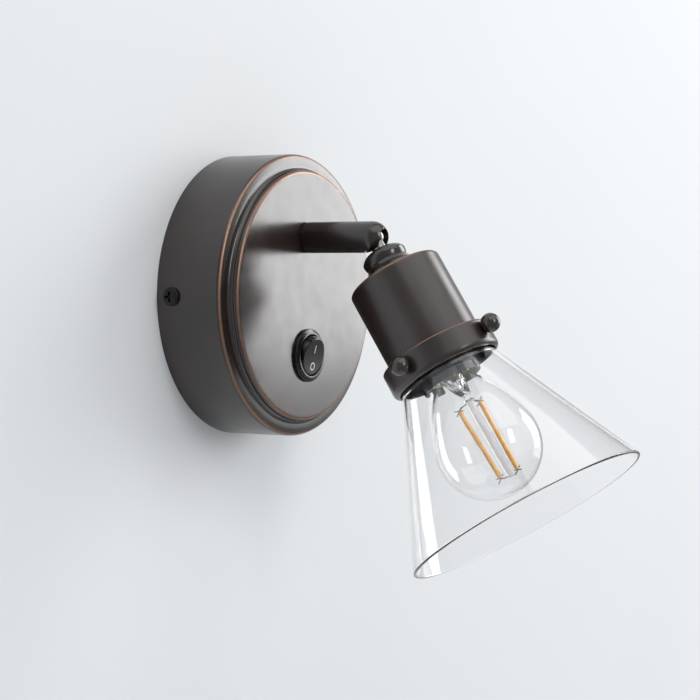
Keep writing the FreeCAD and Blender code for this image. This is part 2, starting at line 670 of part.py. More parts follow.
def rocker():
    """A see-saw with a dished face, drawn level and then tipped to off, its top end out."""
    reach = WINDOW_RADIUS - ROCKER_GAP
    middle, end = PIVOT_BELOW_BEZEL + ROCKER_PROUD, PIVOT_BELOW_BEZEL + ROCKER_PROUD + ROCKER_DISH
    floor = -ROCKER_BELOW_PIVOT
    near_end, far_end = Vector(0, -reach, end), Vector(0, reach, end)
    sides = [Part.makePolygon([near_end, Vector(0, -reach, floor), Vector(0, reach, floor), far_end]),
             Part.Arc(far_end, Vector(0, 0, middle), near_end).toShape()]
    half_width = WINDOW_RADIUS - ROCKER_CHEEK
    blank = Part.Face(Part.Wire([edge for side in sides for edge in side.Edges]))
    blank = blank.extrude(Vector(2 * half_width, 0, 0))
    blank.translate(Vector(-half_width, 0, 0))
    cap = blank.common(Part.makeSphere(reach))
    cap = cap.cut(rod(Vector(-reach, 0, 0), Vector(reach, 0, 0), PIVOT_PIN_RADIUS + FACE_FIT))
    cap.rotate(Vector(0, 0, 0), X_AXIS, 90 + ROCKER_THROW / 2)
    cap.translate(Vector(0, -pivot_depth(), -SWITCH_DROP))
    return cap


def blade_sheets():
    rear, front = housing_rear() - BLADE_LENGTH, housing_rear() + BLADE_SEAT
    size = Vector(BLADE_WIDTH, front - rear, BLADE_SHEET)
    return Part.makeCompound([block(Vector(0, -(rear + front) / 2, blade_height(b)), size) for b in (-1, 1)])


def switch_blades():
    return blade_sheets()


def switch_receptacles():
    """Flag receptacles: a flat sleeve over each blade, with a barrel for its wire at one side."""
    sleeves = []
    thick = BLADE_SHEET + 2 * RECEPTACLE_WALL
    for b in (-1, 1):
        centre = Vector(0, -blade_middle_depth(), blade_height(b))
        sleeve = block(centre, Vector(2 * receptacle_half_width(), BLADE_LENGTH - RECEPTACLE_SHORT, thick))
        flag = centre + X_AXIS * (receptacle_half_width() + FLAG_LENGTH / 2)
        barrel = block(flag, Vector(FLAG_LENGTH, FLAG_SIZE, FLAG_SIZE))
        cavity = block(centre, Vector(BLADE_WIDTH + 2 * FACE_FIT, 2 * BLADE_LENGTH, BLADE_SHEET + 2 * FACE_FIT))
        sleeves.append(sleeve.fuse(barrel).cut(cavity))
    return Part.makeCompound(sleeves)


# ---- Arm ---------------------------------------------------------------------------------------
def arm_tube():
    base = PLATE_DEPTH + GLIDE_SHEET
    outside = Profile(0, base).line(ARM_RADIUS - ARM_CHAMFER, base).line(ARM_RADIUS, base + ARM_CHAMFER)
    outside.arc(0, BALL_REACH, ARM_RADIUS, 0, 90)
    bore = Profile(0, base - 1).line(ARM_BORE, base - 1)
    bore.arc(0, BALL_REACH, ARM_BORE, 0, 90)
    tube = stand_off(outside.turned().cut(bore.turned()), ARM_HEIGHT)
    return tube.cut(neck_sweep(NECK_RADIUS + SLOT_CLEARANCE))


def neck_sweep(half_width):
    """The slot that the ball's neck swings through, from level to straight down."""
    reach = 2 * ARM_RADIUS
    fan_start = Vector(0, -math.cos(math.radians(LOWEST_TILT)), -math.sin(math.radians(LOWEST_TILT)))
    fan_end = Vector(0, -math.cos(math.radians(HIGHEST_TILT)), -math.sin(math.radians(HIGHEST_TILT)))
    fan_middle_turn = math.radians((LOWEST_TILT + HIGHEST_TILT) / 2)
    fan_middle = Vector(0, -math.cos(fan_middle_turn), -math.sin(fan_middle_turn))
    centre = BALL_CENTRE
    first, middle, last = (centre + way * reach for way in (fan_start, fan_middle, fan_end))
    sides = [Part.LineSegment(centre, first).toShape(), Part.Arc(first, middle, last).toShape(),
             Part.LineSegment(last, centre).toShape()]
    fan = Part.Face(Part.Wire(sides)).extrude(Vector(2 * half_width, 0, 0))
    fan.translate(Vector(-half_width, 0, 0))
    ends = [rod(centre, centre + way * reach, half_width) for way in (fan_start, fan_end)]
    return fan.fuse(ends)


def arm_nipple():
    return stand_off(ring(NIPPLE_RADIUS, NIPPLE_BORE, plate_inner() - NIPPLE_TAIL, NIPPLE_REACH), ARM_HEIGHT)


def arm_glide_washer():
    washer = ring(ARM_RADIUS - ARM_CHAMFER, NIPPLE_RADIUS + FACE_FIT, PLATE_DEPTH, PLATE_DEPTH + GLIDE_SHEET)
    return stand_off(washer, ARM_HEIGHT)


def arm_stop_washer():
    """A washer whose tab meets the stop pin just short of half a turn each way."""
    back = plate_inner() - STOP_WASHER_SHEET
    washer = ring(STOP_WASHER_RADIUS, NIPPLE_RADIUS + FACE_FIT, back, plate_inner())
    tab_reach = STOP_DISTANCE + STOP_PIN_RADIUS
    tab_corner = Vector(-STOP_TAB_WIDTH / 2, -tab_reach, back)
    tab = Part.makeBox(STOP_TAB_WIDTH, tab_reach, STOP_WASHER_SHEET, tab_corner)
    tab = tab.cut(ring(NIPPLE_RADIUS + FACE_FIT, 0, back - 1, plate_inner() + 1))
    return stand_off(washer.fuse(tab).removeSplitter(), ARM_HEIGHT)


def nut_front():
    return plate_inner() - STOP_WASHER_SHEET - SPRING_WASHER_SHEET


def arm_spring_washer():
    front = plate_inner() - STOP_WASHER_SHEET
    return stand_off(ring(SPRING_WASHER_RADIUS, NIPPLE_RADIUS + FACE_FIT, nut_front(), front), ARM_HEIGHT)


def arm_nut():
    nut = hexagon_nut(NUT_FLATS, NIPPLE_RADIUS + FACE_FIT, nut_front() - NUT_HEIGHT, NUT_HEIGHT)
    return stand_off(nut, ARM_HEIGHT)


def arm_stop_pin():
    inner = plate_inner()
    pin = ring(STOP_PIN_RADIUS, 0, inner - STOP_PIN_LENGTH, inner + SHEET / 2)
    return stand_off(pin, ARM_HEIGHT + STOP_DISTANCE)


def disc_springs():
    """Cone washers stacked face to face, which press the bush on the ball."""
    space = BUSH_REAR - NIPPLE_REACH
    each = space / DISC_SPRINGS
    inner, outer = NIPPLE_BORE, ARM_BORE - FACE_FIT
    washers = []
    for i in range(DISC_SPRINGS):
        low, high = NIPPLE_REACH + each * i, NIPPLE_REACH + each * (i + 1)
        first, second = (inner, outer) if i % 2 else (outer, inner)
        cone = Profile(first, low).line(second, high - DISC_SPRING_SHEET).line(second, high)
        washers.append(cone.line(first, low + DISC_SPRING_SHEET).turned())
    return stand_off(Part.makeCompound(washers), ARM_HEIGHT)


def ball_seat_bush():
    bush = stand_off(ring(ARM_BORE - FACE_FIT, BUSH_BORE, BUSH_REAR, BUSH_FRONT), ARM_HEIGHT)
    return bush.cut(Part.makeSphere(BALL_RADIUS + FACE_FIT, BALL_CENTRE))


# ---- Head: joint and cup -------------------------------------------------------------------------
def swivel_ball():
    ball = Part.makeSphere(BALL_RADIUS).fuse(ring(NECK_RADIUS, 0, 0, STUD_END)).removeSplitter()
    return ball.cut(ring(LEAD_BORE, 0, -BALL_RADIUS - 1, STUD_END + 1))


def swivel_collar():
    """A bulge under a small flat top, a soft waist, and a foot band on the cup."""
    bulge, waist, foot = (COLLAR_TOP + drop for drop in (COLLAR_BULGE_DROP, COLLAR_WAIST_DROP, COLLAR_FOOT_DROP))
    bore = NECK_RADIUS + FACE_FIT
    outline = Profile(bore, COLLAR_TOP).line(COLLAR_TOP_RADIUS, COLLAR_TOP)
    outline.through(COLLAR_BULGE - BULGE_ROUND[0], COLLAR_TOP + BULGE_ROUND[1], COLLAR_BULGE, bulge)
    outline.through((COLLAR_BULGE + COLLAR_WAIST) / 2 + WAIST_FULLNESS, (bulge + waist) / 2, COLLAR_WAIST, waist)
    outline.through((COLLAR_WAIST + COLLAR_FOOT) / 2 - FOOT_HOLLOW, (waist + foot) / 2, COLLAR_FOOT, foot)
    outline.line(COLLAR_FOOT, CUP_TOP).line(STEM_RADIUS, CUP_TOP).line(STEM_RADIUS, STEM_END)
    outline.line(STEM_BORE, STEM_END).line(STEM_BORE, STUD_END).line(bore, STUD_END)
    return outline.turned()


def socket_cup():
    outside = Profile(STEM_RADIUS + FACE_FIT, CUP_TOP).line(CUP_RADIUS - CUP_ROUND, CUP_TOP)
    outside.arc(CUP_RADIUS - CUP_ROUND, CUP_TOP + CUP_ROUND, CUP_ROUND, 270, 360)
    outside.line(CUP_RADIUS, FITTER_TOP).line(CUP_RADIUS - CUP_SHEET, FITTER_TOP)
    outside.arc(CUP_RADIUS - CUP_ROUND, CUP_TOP + CUP_ROUND, CUP_ROUND - CUP_SHEET, 360, 270)
    outside.line(STEM_RADIUS + FACE_FIT, CUP_TOP + CUP_SHEET)
    return outside.turned()


def cup_lock_washer():
    low = CUP_TOP + CUP_SHEET
    return ring(CUP_WASHER_RADIUS, STEM_RADIUS + FACE_FIT, low, low + CUP_WASHER_SHEET)


def cup_nut():
    low = CUP_TOP + CUP_SHEET + CUP_WASHER_SHEET
    return hexagon_nut(NUT_FLATS, STEM_RADIUS + FACE_FIT, low, CUP_NUT_HEIGHT)


# ---- Head: shade fitter, thumbscrews and glass ------------------------------------------------------
def thumbscrew_way(index):
    """The direction of a thumbscrew in the head's own frame, square to its axis."""
    turn = math.radians(THUMBSCREW_TURNS[index])
    return Vector(-math.cos(turn), -math.sin(turn), 0)


def fitter_ring():
    foot = FITTER_FOOT
    body = Profile(HOLDER_RADIUS + FACE_FIT, FITTER_TOP)
    body.arc(FITTER_RADIUS - FITTER_ROUND, FITTER_TOP + FITTER_ROUND, FITTER_ROUND, 270, 360)
    body.arc(FITTER_RADIUS - LIP_ROUND, foot - LIP_ROUND, LIP_ROUND, 0, 90)
    body.line(LIP_RADIUS, foot - FITTER_SHEET)
    body.arc(FITTER_RADIUS - LIP_ROUND, foot - LIP_ROUND, LIP_ROUND - FITTER_SHEET, 90, 0)
    body.line(FITTER_RADIUS - FITTER_SHEET, FITTER_TOP + FITTER_SHEET)
    body.line(HOLDER_RADIUS + FACE_FIT, FITTER_TOP + FITTER_SHEET)
    fitter = body.turned()
    for i in range(len(THUMBSCREW_TURNS)):
        way = thumbscrew_way(i)
        level = Z_AXIS * THUMBSCREW_HEIGHT
        inside, outside = way * NECK_GLASS_RADIUS + level, way * THUMBSCREW_BALL_PLACE + level
        fitter = fitter.cut(rod(inside, outside, THUMBSCREW_SHANK + FACE_FIT))
    return fitter


def thumbscrew(index):
    way = thumbscrew_way(index)
    level = Z_AXIS * THUMBSCREW_HEIGHT
    tip, seat = NECK_GLASS_RADIUS + SCREW_TIP_GAP, FITTER_RADIUS + SEAT_GAP
    shank = rod(way * tip + level, way * THUMBSCREW_BALL_PLACE + level, THUMBSCREW_SHANK)
    neck = rod(way * seat + level, way * THUMBSCREW_BALL_PLACE + level, THUMBSCREW_NECK)
    head = Part.makeSphere(THUMBSCREW_BALL, way * THUMBSCREW_BALL_PLACE + level, way)
    keep_off = rod(level, way * seat + level, THUMBSCREW_BALL + 1)
    return head.cut(keep_off).fuse([shank, neck]).removeSplitter()


def glass_shade():
    slope = Vector(MOUTH_RADIUS - CONE_START_RADIUS, 0, MOUTH_HEIGHT - CONE_START).normalize()
    inward = Vector(-slope.z, 0, slope.x) * GLASS
    rim_middle = Vector(MOUTH_RADIUS, 0, MOUTH_HEIGHT) + inward / 2 + slope * (GLASS / 2)
    inner_neck = NECK_GLASS_RADIUS - GLASS
    outline = Profile(inner_neck, SHADE_TOP).line(NECK_GLASS_RADIUS, SHADE_TOP)
    outline.line(NECK_GLASS_RADIUS, SHADE_NECK_END)
    bend = Vector((NECK_GLASS_RADIUS * 2 + CONE_START_RADIUS) / 3, 0, (SHADE_NECK_END + CONE_START) / 2)
    outline.through(bend.x, bend.z, CONE_START_RADIUS, CONE_START)
    outline.line(MOUTH_RADIUS, MOUTH_HEIGHT)
    inner_end = Vector(MOUTH_RADIUS, 0, MOUTH_HEIGHT) + inward
    outline.through(rim_middle.x, rim_middle.z, inner_end.x, inner_end.z)
    inner_start = Vector(CONE_START_RADIUS, 0, CONE_START) + inward
    outline.line(inner_start.x, inner_start.z)
    outline.through(bend.x + inward.x * 0.97, bend.z + inward.z / 2, inner_neck, SHADE_NECK_END)
    return outline.turned()


# ---- Head: lampholder --------------------------------------------------------------------------------
def holder_cap():
    nose = HOLDER_CAP_TOP + HOLDER_NOSE_LENGTH
    shoulder = nose + HOLDER_CAP_SHOULDER
    bore = STEM_RADIUS + FACE_FIT
    outline = Profile(bore, HOLDER_CAP_TOP).line(HOLDER_NOSE_RADIUS, HOLDER_CAP_TOP)
    outline.line(HOLDER_NOSE_RADIUS + HOLDER_NOSE_TAPER, nose)
    outline.through(HOLDER_RADIUS - HOLDER_CAP_ROUND[0], nose + HOLDER_CAP_ROUND[1], HOLDER_RADIUS, shoulder)
    outline.line(HOLDER_RADIUS, HOLDER_TOP).line(HOLDER_RADIUS - HOLDER_WALL, HOLDER_TOP)
    outline.line(HOLDER_RADIUS - HOLDER_WALL, shoulder + HOLDER_WALL / 2)
    return outline.line(HOLDER_NOSE_RADIUS, nose + HOLDER_WALL / 2).line(bore, nose + HOLDER_WALL / 2).turned()


def holder_body():
    """The lampholder's skirt, with a shoulder above the fitter and two notches at its mouth."""
    outline = Profile(HOLDER_RADIUS, HOLDER_TOP).line(HOLDER_RADIUS, FITTER_TOP - SHOULDER_SHEET)
    outline.line(SHOULDER_RADIUS, FITTER_TOP - SHOULDER_SHEET).line(SHOULDER_RADIUS, FITTER_TOP)
    outline.line(HOLDER_RADIUS, FITTER_TOP).line(HOLDER_RADIUS, HOLDER_MOUTH)
    outline.line(HOLDER_RADIUS - HOLDER_WALL, HOLDER_MOUTH).line(HOLDER_RADIUS - HOLDER_WALL, HOLDER_TOP)
    skirt = outline.turned()
    for side in (-1, 1):
        size = Vector(HOLDER_RADIUS, NOTCH_WIDTH, 2 * NOTCH_DEPTH)
        notch = block(Vector(side * HOLDER_RADIUS, 0, HOLDER_MOUTH), size)
        notch.rotate(Vector(0, 0, 0), Z_AXIS, FILAMENT_TURN)
        skirt = skirt.cut(notch)
    return skirt


def holder_shade_nut():
    low = FITTER_TOP + FITTER_SHEET
    nut = ring(SHADE_NUT_RADIUS, HOLDER_RADIUS + FACE_FIT, low, low + SHADE_NUT_HEIGHT)
    for i in range(SHADE_NUT_GRIPS):
        turn = 2 * math.pi * i / SHADE_NUT_GRIPS
        foot = Vector(SHADE_NUT_RADIUS * math.cos(turn), SHADE_NUT_RADIUS * math.sin(turn), low - 1)
        nut = nut.cut(Part.makeCylinder(SHADE_NUT_GRIP_RADIUS, SHADE_NUT_HEIGHT + 2, foot))
    return nut


def holder_insert():
    return ring(HOLDER_RADIUS - HOLDER_WALL - FACE_FIT, CONTACT_NOSE, INSERT_TOP, INSERT_FOOT)


def holder_terminals():
    size = Vector(TERMINAL_SIZE, TERMINAL_SIZE, TERMINAL_SIZE)
    return Part.makeCompound([block(Vector(side * TERMINAL_OFFSET, 0, INSERT_TOP - TERMINAL_SIZE / 2), size)
                              for side in (-1, 1)])


def thread_shell():
    shell = ring(SHELL_RADIUS + SHELL_SHEET, SHELL_RADIUS, INSERT_FOOT, SHELL_MOUTH)
    floor = ring(SHELL_RADIUS + SHELL_SHEET / 2, 2 * CONTACT_RADIUS, INSERT_FOOT, INSERT_FOOT + SHELL_SHEET)
    return shell.fuse(floor).removeSplitter()


def centre_contact():
    leaf = Profile(0, INSERT_FOOT).line(CONTACT_RADIUS, INSERT_FOOT)
    leaf.line(CONTACT_RADIUS, TIP_HEIGHT - CONTACT_HEIGHT / 3).line(CONTACT_NOSE, TIP_HEIGHT - FACE_FIT)
    return leaf.line(0, TIP_HEIGHT - FACE_FIT).turned()


def holder_lead(name, side):
    start = side * (LEAD_RADIUS + FACE_FIT)
    end = side * TERMINAL_OFFSET
    turn = STEM_END - LEAD_RADIUS
    points = [Vector(start, 0, -LEAD_RADIUS), Vector(start, 0, turn), Vector(end, 0, turn + TERMINAL_SIZE),
              Vector(end, 0, INSERT_TOP - TERMINAL_SIZE)]
    return insulated_wire(name, points, LEAD_RADIUS)


# ---- Head: bulb -----------------------------------------------------------------------------------------
def bulb_glass():
    meet = math.radians(GLOBE_MEETS_NECK)
    join = (GLOBE_RADIUS * math.sin(meet), GLOBE_CENTRE - GLOBE_RADIUS * math.cos(meet))

    def outline(inset):
        neck, flare = BULB_NECK_RADIUS - inset, FLARE_RADIUS - inset
        shape = Profile(0, BULB_NECK_START).line(neck, BULB_NECK_START).line(neck, CAP_END)
        shape.through((neck + flare) / 2 + NECK_CURVE[0], CAP_END + NECK_CURVE[1], flare, FLARE_HEIGHT)
        middle = ((FLARE_RADIUS + join[0]) / 2 - NECK_HOLLOW - inset, (FLARE_HEIGHT + join[1]) / 2)
        shape.through(*middle, join[0] - inset * math.sin(meet), join[1] + inset * math.cos(meet))
        shape.arc(0, GLOBE_CENTRE, GLOBE_RADIUS - inset, GLOBE_MEETS_NECK - 90, 90)
        return shape.turned()

    return outline(0).cut(outline(BULB_GLASS))


def bulb_cap():
    return ring(CAP_RADIUS, CAP_RADIUS - CAP_SHEET, INSULATOR_FOOT, CAP_END)


def bulb_insulator():
    inside = INSULATOR_FOOT + INSULATOR_EDGE
    outline = Profile(0, TIP_HEIGHT + TIP_DEPTH).line(TIP_RADIUS, TIP_HEIGHT + TIP_DEPTH)
    outline.line(INSULATOR_RADIUS, INSULATOR_FOOT - INSULATOR_EDGE).line(INSULATOR_RADIUS, inside)
    return outline.line(0, inside).turned()


def bulb_tip():
    outline = Profile(0, TIP_HEIGHT)
    outline.through(TIP_RADIUS * 3 / 4, TIP_HEIGHT + TIP_DEPTH * 2 / 5, TIP_RADIUS, TIP_HEIGHT + TIP_DEPTH)
    return outline.line(0, TIP_HEIGHT + TIP_DEPTH).turned()


def bulb_stem():
    """The inner glass: a flare sealed in the neck, drawn down to a pinch that holds the pillar."""
    flare = BULB_NECK_RADIUS - FACE_FIT - BULB_GLASS
    shoulder = CAP_END + FLARE_RISE / 3
    outline = Profile(0, BULB_NECK_START).line(flare, BULB_NECK_START).line(flare, shoulder)
    outline.through(PINCH_RADIUS + STEM_CURVE, (shoulder + STEM_PINCH) / 2, PINCH_RADIUS, STEM_PINCH)
    return outline.line(PINCH_RADIUS, PILLAR_START).line(0, PILLAR_START).turned()


def filament_place(side, height):
    turn = math.radians(FILAMENT_TURN)
    return Vector(side * FILAMENT_OFFSET * math.cos(turn), side * FILAMENT_OFFSET * math.sin(turn), height)


def filaments():
    return Part.makeCompound([rod(filament_place(side, FILAMENT_START), filament_place(side, FILAMENT_END),
                                  FILAMENT_RADIUS) for side in (-1, 1)])


def filament_wires():
    """Thin nickel wires: one to each end of each filament, crossed by a pair of free hooks."""
    wires = []
    ends = ((FILAMENT_START, PILLAR_START + 2 * FINE_WIRE, 1), (FILAMENT_END, PILLAR_END - 2 * FINE_WIRE, -1))
    for height, end, way in ends:
        for side in (-1, 1):
            outer = filament_place(side, height)
            across = Vector(-outer.y, outer.x, 0).normalize()
            inner = Vector(outer.x, outer.y, 0).normalize() * (PILLAR_RADIUS + FINE_WIRE) + Z_AXIS * end
            wires.append(rod(inner, outer - Z_AXIS * (way * FINE_WIRE), FINE_WIRE))
            hook_start = across * (side * (PILLAR_RADIUS + FINE_WIRE)) + Z_AXIS * end
            hook_end = hook_start + across * (side * HOOK_LENGTH) - Z_AXIS * (way * HOOK_RISE)
            wires.append(rod(hook_start, hook_end, FINE_WIRE))
    return Part.makeCompound(wires)


def bulb_pillar():
    return ring(PILLAR_RADIUS, 0, PILLAR_START, PILLAR_END)


# ---- Pieces and their files ---------------------------------------------------------------------------------
WALL_PIECES = [canopy, mounting_bracket, canopy_side_screws, earth_screw, earth_ring_tag, terminal_block,
               terminal_barrels, terminal_screws, live_wire, switched_wire, neutral_wire, earth_wire,
               switch_housing, rocker_pivot_pin, switch_blades, switch_receptacles, arm_stop_pin,
               rocker, arm_tube, arm_nipple, arm_glide_washer, arm_stop_washer, arm_spring_washer, arm_nut,
               disc_springs, ball_seat_bush]
HEAD_PIECES = [swivel_ball, swivel_collar, socket_cup, cup_lock_washer, cup_nut, fitter_ring, glass_shade,
               holder_cap, holder_body, holder_shade_nut, holder_insert, holder_terminals, thread_shell,
               centre_contact, bulb_glass, bulb_cap, bulb_insulator, bulb_tip, bulb_stem, bulb_pillar,
               filaments, filament_wires]


def main():
    os.makedirs("parts", exist_ok=True)
    pieces = {piece.__name__: piece() for piece in WALL_PIECES}
    pieces.update({piece.__name__: place_head(piece()) for piece in HEAD_PIECES})
    for i in range(len(THUMBSCREW_TURNS)):
        pieces[f"thumbscrew_{i + 1}"] = place_head(thumbscrew(i))
    for name, side in (("live_lead", -1), ("neutral_lead", 1)):
        pieces[name] = place_head(holder_lead(name, side))
    for name, shape in pieces.items():
        if not shape.isValid():
            print("not valid:", name)
        shape.exportStep(f"parts/{name}.step")
    print(len(pieces), "pieces written")


main()
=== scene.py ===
"""Bedside wall reading lamp: the finish and the fine modelling of every surface.

Each sub-assembly of the lamp is a class that holds its sizes in millimetres and turns, cuts and
dresses its own pieces. A piece is drawn upright, about its own axis, and is then seated on the
wall plate's or the head's axis. Lengths become metres only in Outline and in mm().
"""

import json
import logging
import math
import sys
from collections.abc import Iterable
from dataclasses import dataclass, field
from enum import Enum

import bpy
from mathutils import Matrix, Vector

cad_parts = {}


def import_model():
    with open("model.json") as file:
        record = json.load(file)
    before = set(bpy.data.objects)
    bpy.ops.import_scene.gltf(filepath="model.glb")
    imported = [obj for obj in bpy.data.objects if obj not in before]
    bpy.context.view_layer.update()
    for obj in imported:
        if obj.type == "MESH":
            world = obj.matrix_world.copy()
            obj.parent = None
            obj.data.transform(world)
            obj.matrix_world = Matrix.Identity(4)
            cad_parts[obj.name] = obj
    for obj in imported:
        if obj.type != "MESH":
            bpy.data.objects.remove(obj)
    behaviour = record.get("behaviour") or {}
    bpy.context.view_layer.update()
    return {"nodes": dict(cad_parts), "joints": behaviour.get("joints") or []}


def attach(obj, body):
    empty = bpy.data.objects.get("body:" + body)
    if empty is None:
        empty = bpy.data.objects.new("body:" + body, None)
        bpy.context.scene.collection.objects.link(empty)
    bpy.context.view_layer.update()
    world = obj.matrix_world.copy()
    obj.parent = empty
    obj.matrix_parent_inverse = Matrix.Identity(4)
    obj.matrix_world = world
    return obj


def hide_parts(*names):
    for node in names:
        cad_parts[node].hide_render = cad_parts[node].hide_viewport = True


LOG = logging.getLogger("lamp")
HOLD = 0.22              # mm from a corner to the loop that keeps a flat run flat
UPRIGHT_TO_WALL = 90     # degrees that tip a piece's upright axis to stand out from the wall
CLEARANCE = 0.05         # mm between two pieces that fit into each other
MERGE = 1e-6             # metres
SMOOTH_ANGLE = math.radians(32)
RUBBED = "rubbed"        # attribute: 1 where lacquer is worn to copper, or a glass rim is flamed
WEAR_FADE = 7            # wear is full from 1/7 of its stretch in from either end
BANDS_PER_MM = 314       # the scale at which a Wave texture's bands repeat each millimetre


class Side(Enum):
    """One of two opposite sides, and its sign along the row's axis."""

    FIRST = -1
    SECOND = 1


def mm(length: float) -> float:
    """Millimetres as Blender's metres."""
    return length / 1000


def linear(colour: str) -> tuple[float, float, float, float]:
    """An sRGB hex colour as the linear colour that a shader takes.

    Args:
        colour: the colour as "#rrggbb".

    Returns:
        Red, green, blue and an alpha of 1.
    """
    parts = [int(colour[i:i + 2], 16) / 255 for i in (1, 3, 5)]
    red, green, blue = (p / 12.92 if p <= 0.04045 else ((p + 0.055) / 1.055) ** 2.4 for p in parts)
    return red, green, blue, 1.0


# ---- Modelling ---------------------------------------------------------------------------
class Outline:
    """A half-section that a piece is turned from: points of (radius, height) in millimetres."""

    def __init__(self, radius: float, height: float) -> None:
        """Starts the outline at a point."""
        self.points: list[tuple[float, float]] = [(radius, height)]
        self.rubbed: list[float] = [0.0]

    def add(self, radius: float, height: float, rubbed: float = 0.0) -> None:
        """Adds one point, unless the outline is there already.

        Args:
            radius: the point's radius.
            height: its height.
            rubbed: how far it is worn, from 0 to 1.
        """
        last = self.points[-1]
        if math.hypot(radius - last[0], height - last[1]) > 1e-4:
            self.points.append((radius, height))
            self.rubbed.append(rubbed)

    def line(self, radius: float, height: float) -> "Outline":
        """A straight run, with a loop near each end that keeps its shading flat.

        Args:
            radius: radius of the far end.
            height: height of the far end.

        Returns:
            The outline, for the next run.
        """
        start = self.points[-1]
        length = math.hypot(radius - start[0], height - start[1])
        if length > 3 * HOLD:
            for share in (HOLD / length, 1 - HOLD / length):
                self.add(start[0] + (radius - start[0]) * share,
                         start[1] + (height - start[1]) * share)
        self.add(radius, height)
        return self

    def arc(self, centre_radius: float, centre_height: float, size: float, start: float, end: float,
            steps: int = 8, rubbed: tuple[float, float] | None = None) -> "Outline":
        """A round stretch about a centre.

        Args:
            centre_radius: radius of the arc's centre.
            centre_height: height of the arc's centre.
            size: the arc's own radius.
            start: its first angle, in degrees from outwards towards up.
            end: its last angle.
            steps: how many edges make it.
            rubbed: the shares of the stretch between which the surface is worn, if it is.

        Returns:
            The outline, for the next run.
        """
        for i in range(steps + 1):
            share = i / steps
            turn = math.radians(start + (end - start) * share)
            worn = 0.0
            if rubbed:
                worn = min(1.0, max(0.0, WEAR_FADE * min(share - rubbed[0], rubbed[1] - share)))
            point = centre_radius + size * math.cos(turn), centre_height + size * math.sin(turn)
            if i == 0:
                self.line(*point)
            else:
                self.add(*point, worn)
        return self

    def through(self, middle: tuple[float, float], end: tuple[float, float],
                steps: int = 10) -> "Outline":
        """A circular stretch from here through a middle point to an end point.

        Args:
            middle: a (radius, height) point on the stretch.
            end: its last point.
            steps: how many edges make it.

        Returns:
            The outline, for the next run.
        """
        a, b, c = (complex(*p) for p in (self.points[-1], middle, end))
        w = (c - a) / (b - a)
        centre = a + (b - a) * (w - abs(w) ** 2) / (2j * w.imag)
        first, last = (math.atan2((p - centre).imag, (p - centre).real) for p in (a, c))
        sweep = (last - first) % math.tau
        if w.imag < 0:
            sweep -= math.tau
        size = abs(a - centre)
        for i in range(1, steps + 1):
            turn = first + sweep * i / steps
            self.add(centre.real + size * math.cos(turn), centre.imag + size * math.sin(turn))
        return self


def deselect() -> None:
    """Leaves edit mode with nothing selected."""
    if bpy.context.object and bpy.context.object.mode != "OBJECT":
        bpy.ops.object.mode_set(mode="OBJECT")
    bpy.ops.object.select_all(action="DESELECT")


def pick(piece: bpy.types.Object) -> None:
    """Makes a piece the only one selected.

    Args:
        piece: the piece to select and make active.
    """
    deselect()
    piece.select_set(True)
    bpy.context.view_layer.objects.active = piece


def edit_all(piece: bpy.types.Object) -> None:
    """Opens a piece in edit mode with all of it selected.

    Args:
        piece: the piece to open.
    """
    pick(piece)
    bpy.ops.object.mode_set(mode="EDIT")
    bpy.ops.mesh.select_all(action="SELECT")


def named(piece: bpy.types.Object, name: str) -> bpy.types.Object:
    """Names a piece and its mesh."""
    piece.name = piece.data.name = name
    return piece


def fix_place(piece: bpy.types.Object) -> None:
    """Moves a piece's place, turn and size into its mesh."""
    pick(piece)
    bpy.ops.object.transform_apply(location=True, rotation=True, scale=True)


def closed_up(piece: bpy.types.Object) -> None:
    """Merges the doubles of a mesh and points its faces outwards.

    Args:
        piece: a piece with one closed skin, or several.
    """
    edit_all(piece)
    bpy.ops.mesh.remove_doubles(threshold=MERGE)
    bpy.ops.mesh.select_all(action="SELECT")
    bpy.ops.mesh.normals_make_consistent(inside=False)
    bpy.ops.object.mode_set(mode="OBJECT")


def turned(name: str, outline: Outline, steps: int = 128) -> bpy.types.Object:
    """Draws an outline point by point and spins it about the upright axis.

    Args:
        name: the piece's name.
        outline: its half-section, which is closed here.
        steps: how many faces go round.

    Returns:
        The turned piece, closed, with its normals outwards.
    """
    points = [Vector((mm(r), 0, mm(h))) for r, h in outline.points + outline.points[:1]]
    deselect()
    bpy.ops.mesh.primitive_plane_add(size=mm(1), location=points[0])
    piece = named(bpy.context.object, name)
    fix_place(piece)
    edit_all(piece)
    bpy.ops.mesh.merge(type="CENTER")
    for here, there in zip(points, points[1:]):
        bpy.ops.mesh.extrude_region_move(TRANSFORM_OT_translate={"value": there - here})
    bpy.ops.mesh.select_all(action="SELECT")
    bpy.ops.mesh.spin(steps=steps, angle=math.tau, center=(0, 0, 0), axis=(0, 0, 1))
    closed_up(piece)
    wear_by_outline(piece, outline)
    return piece


def wear_by_outline(piece: bpy.types.Object, outline: Outline) -> None:
    """Gives each vertex the wear of the outline point that it was turned from.

    Args:
        piece: a turned piece, upright at the origin.
        outline: the half-section with its wear.
    """
    wear = piece.data.attributes.new(RUBBED, "FLOAT", "POINT")
    if not any(outline.rubbed):
        return
    known = {(round(r, 2), round(h, 2)): w for (r, h), w in zip(outline.points, outline.rubbed)}
    for vertex in piece.data.vertices:
        place = round(math.hypot(vertex.co.x, vertex.co.y) * 1000, 2), round(vertex.co.z * 1000, 2)
        wear.data[vertex.index].value = known.get(place, 0.0)


def finish_with(piece: bpy.types.Object, kind: str, **settings: object) -> None:
    """Adds a modifier to a piece, sets it and applies it.

    Args:
        piece: the piece to change.
        kind: the modifier's type.
        **settings: its options by name.
    """
    pick(piece)
    bpy.ops.object.modifier_add(type=kind)
    modifier = piece.modifiers[-1]
    for key, value in settings.items():
        setattr(modifier, key, value)
    bpy.ops.object.modifier_apply(modifier=modifier.name)


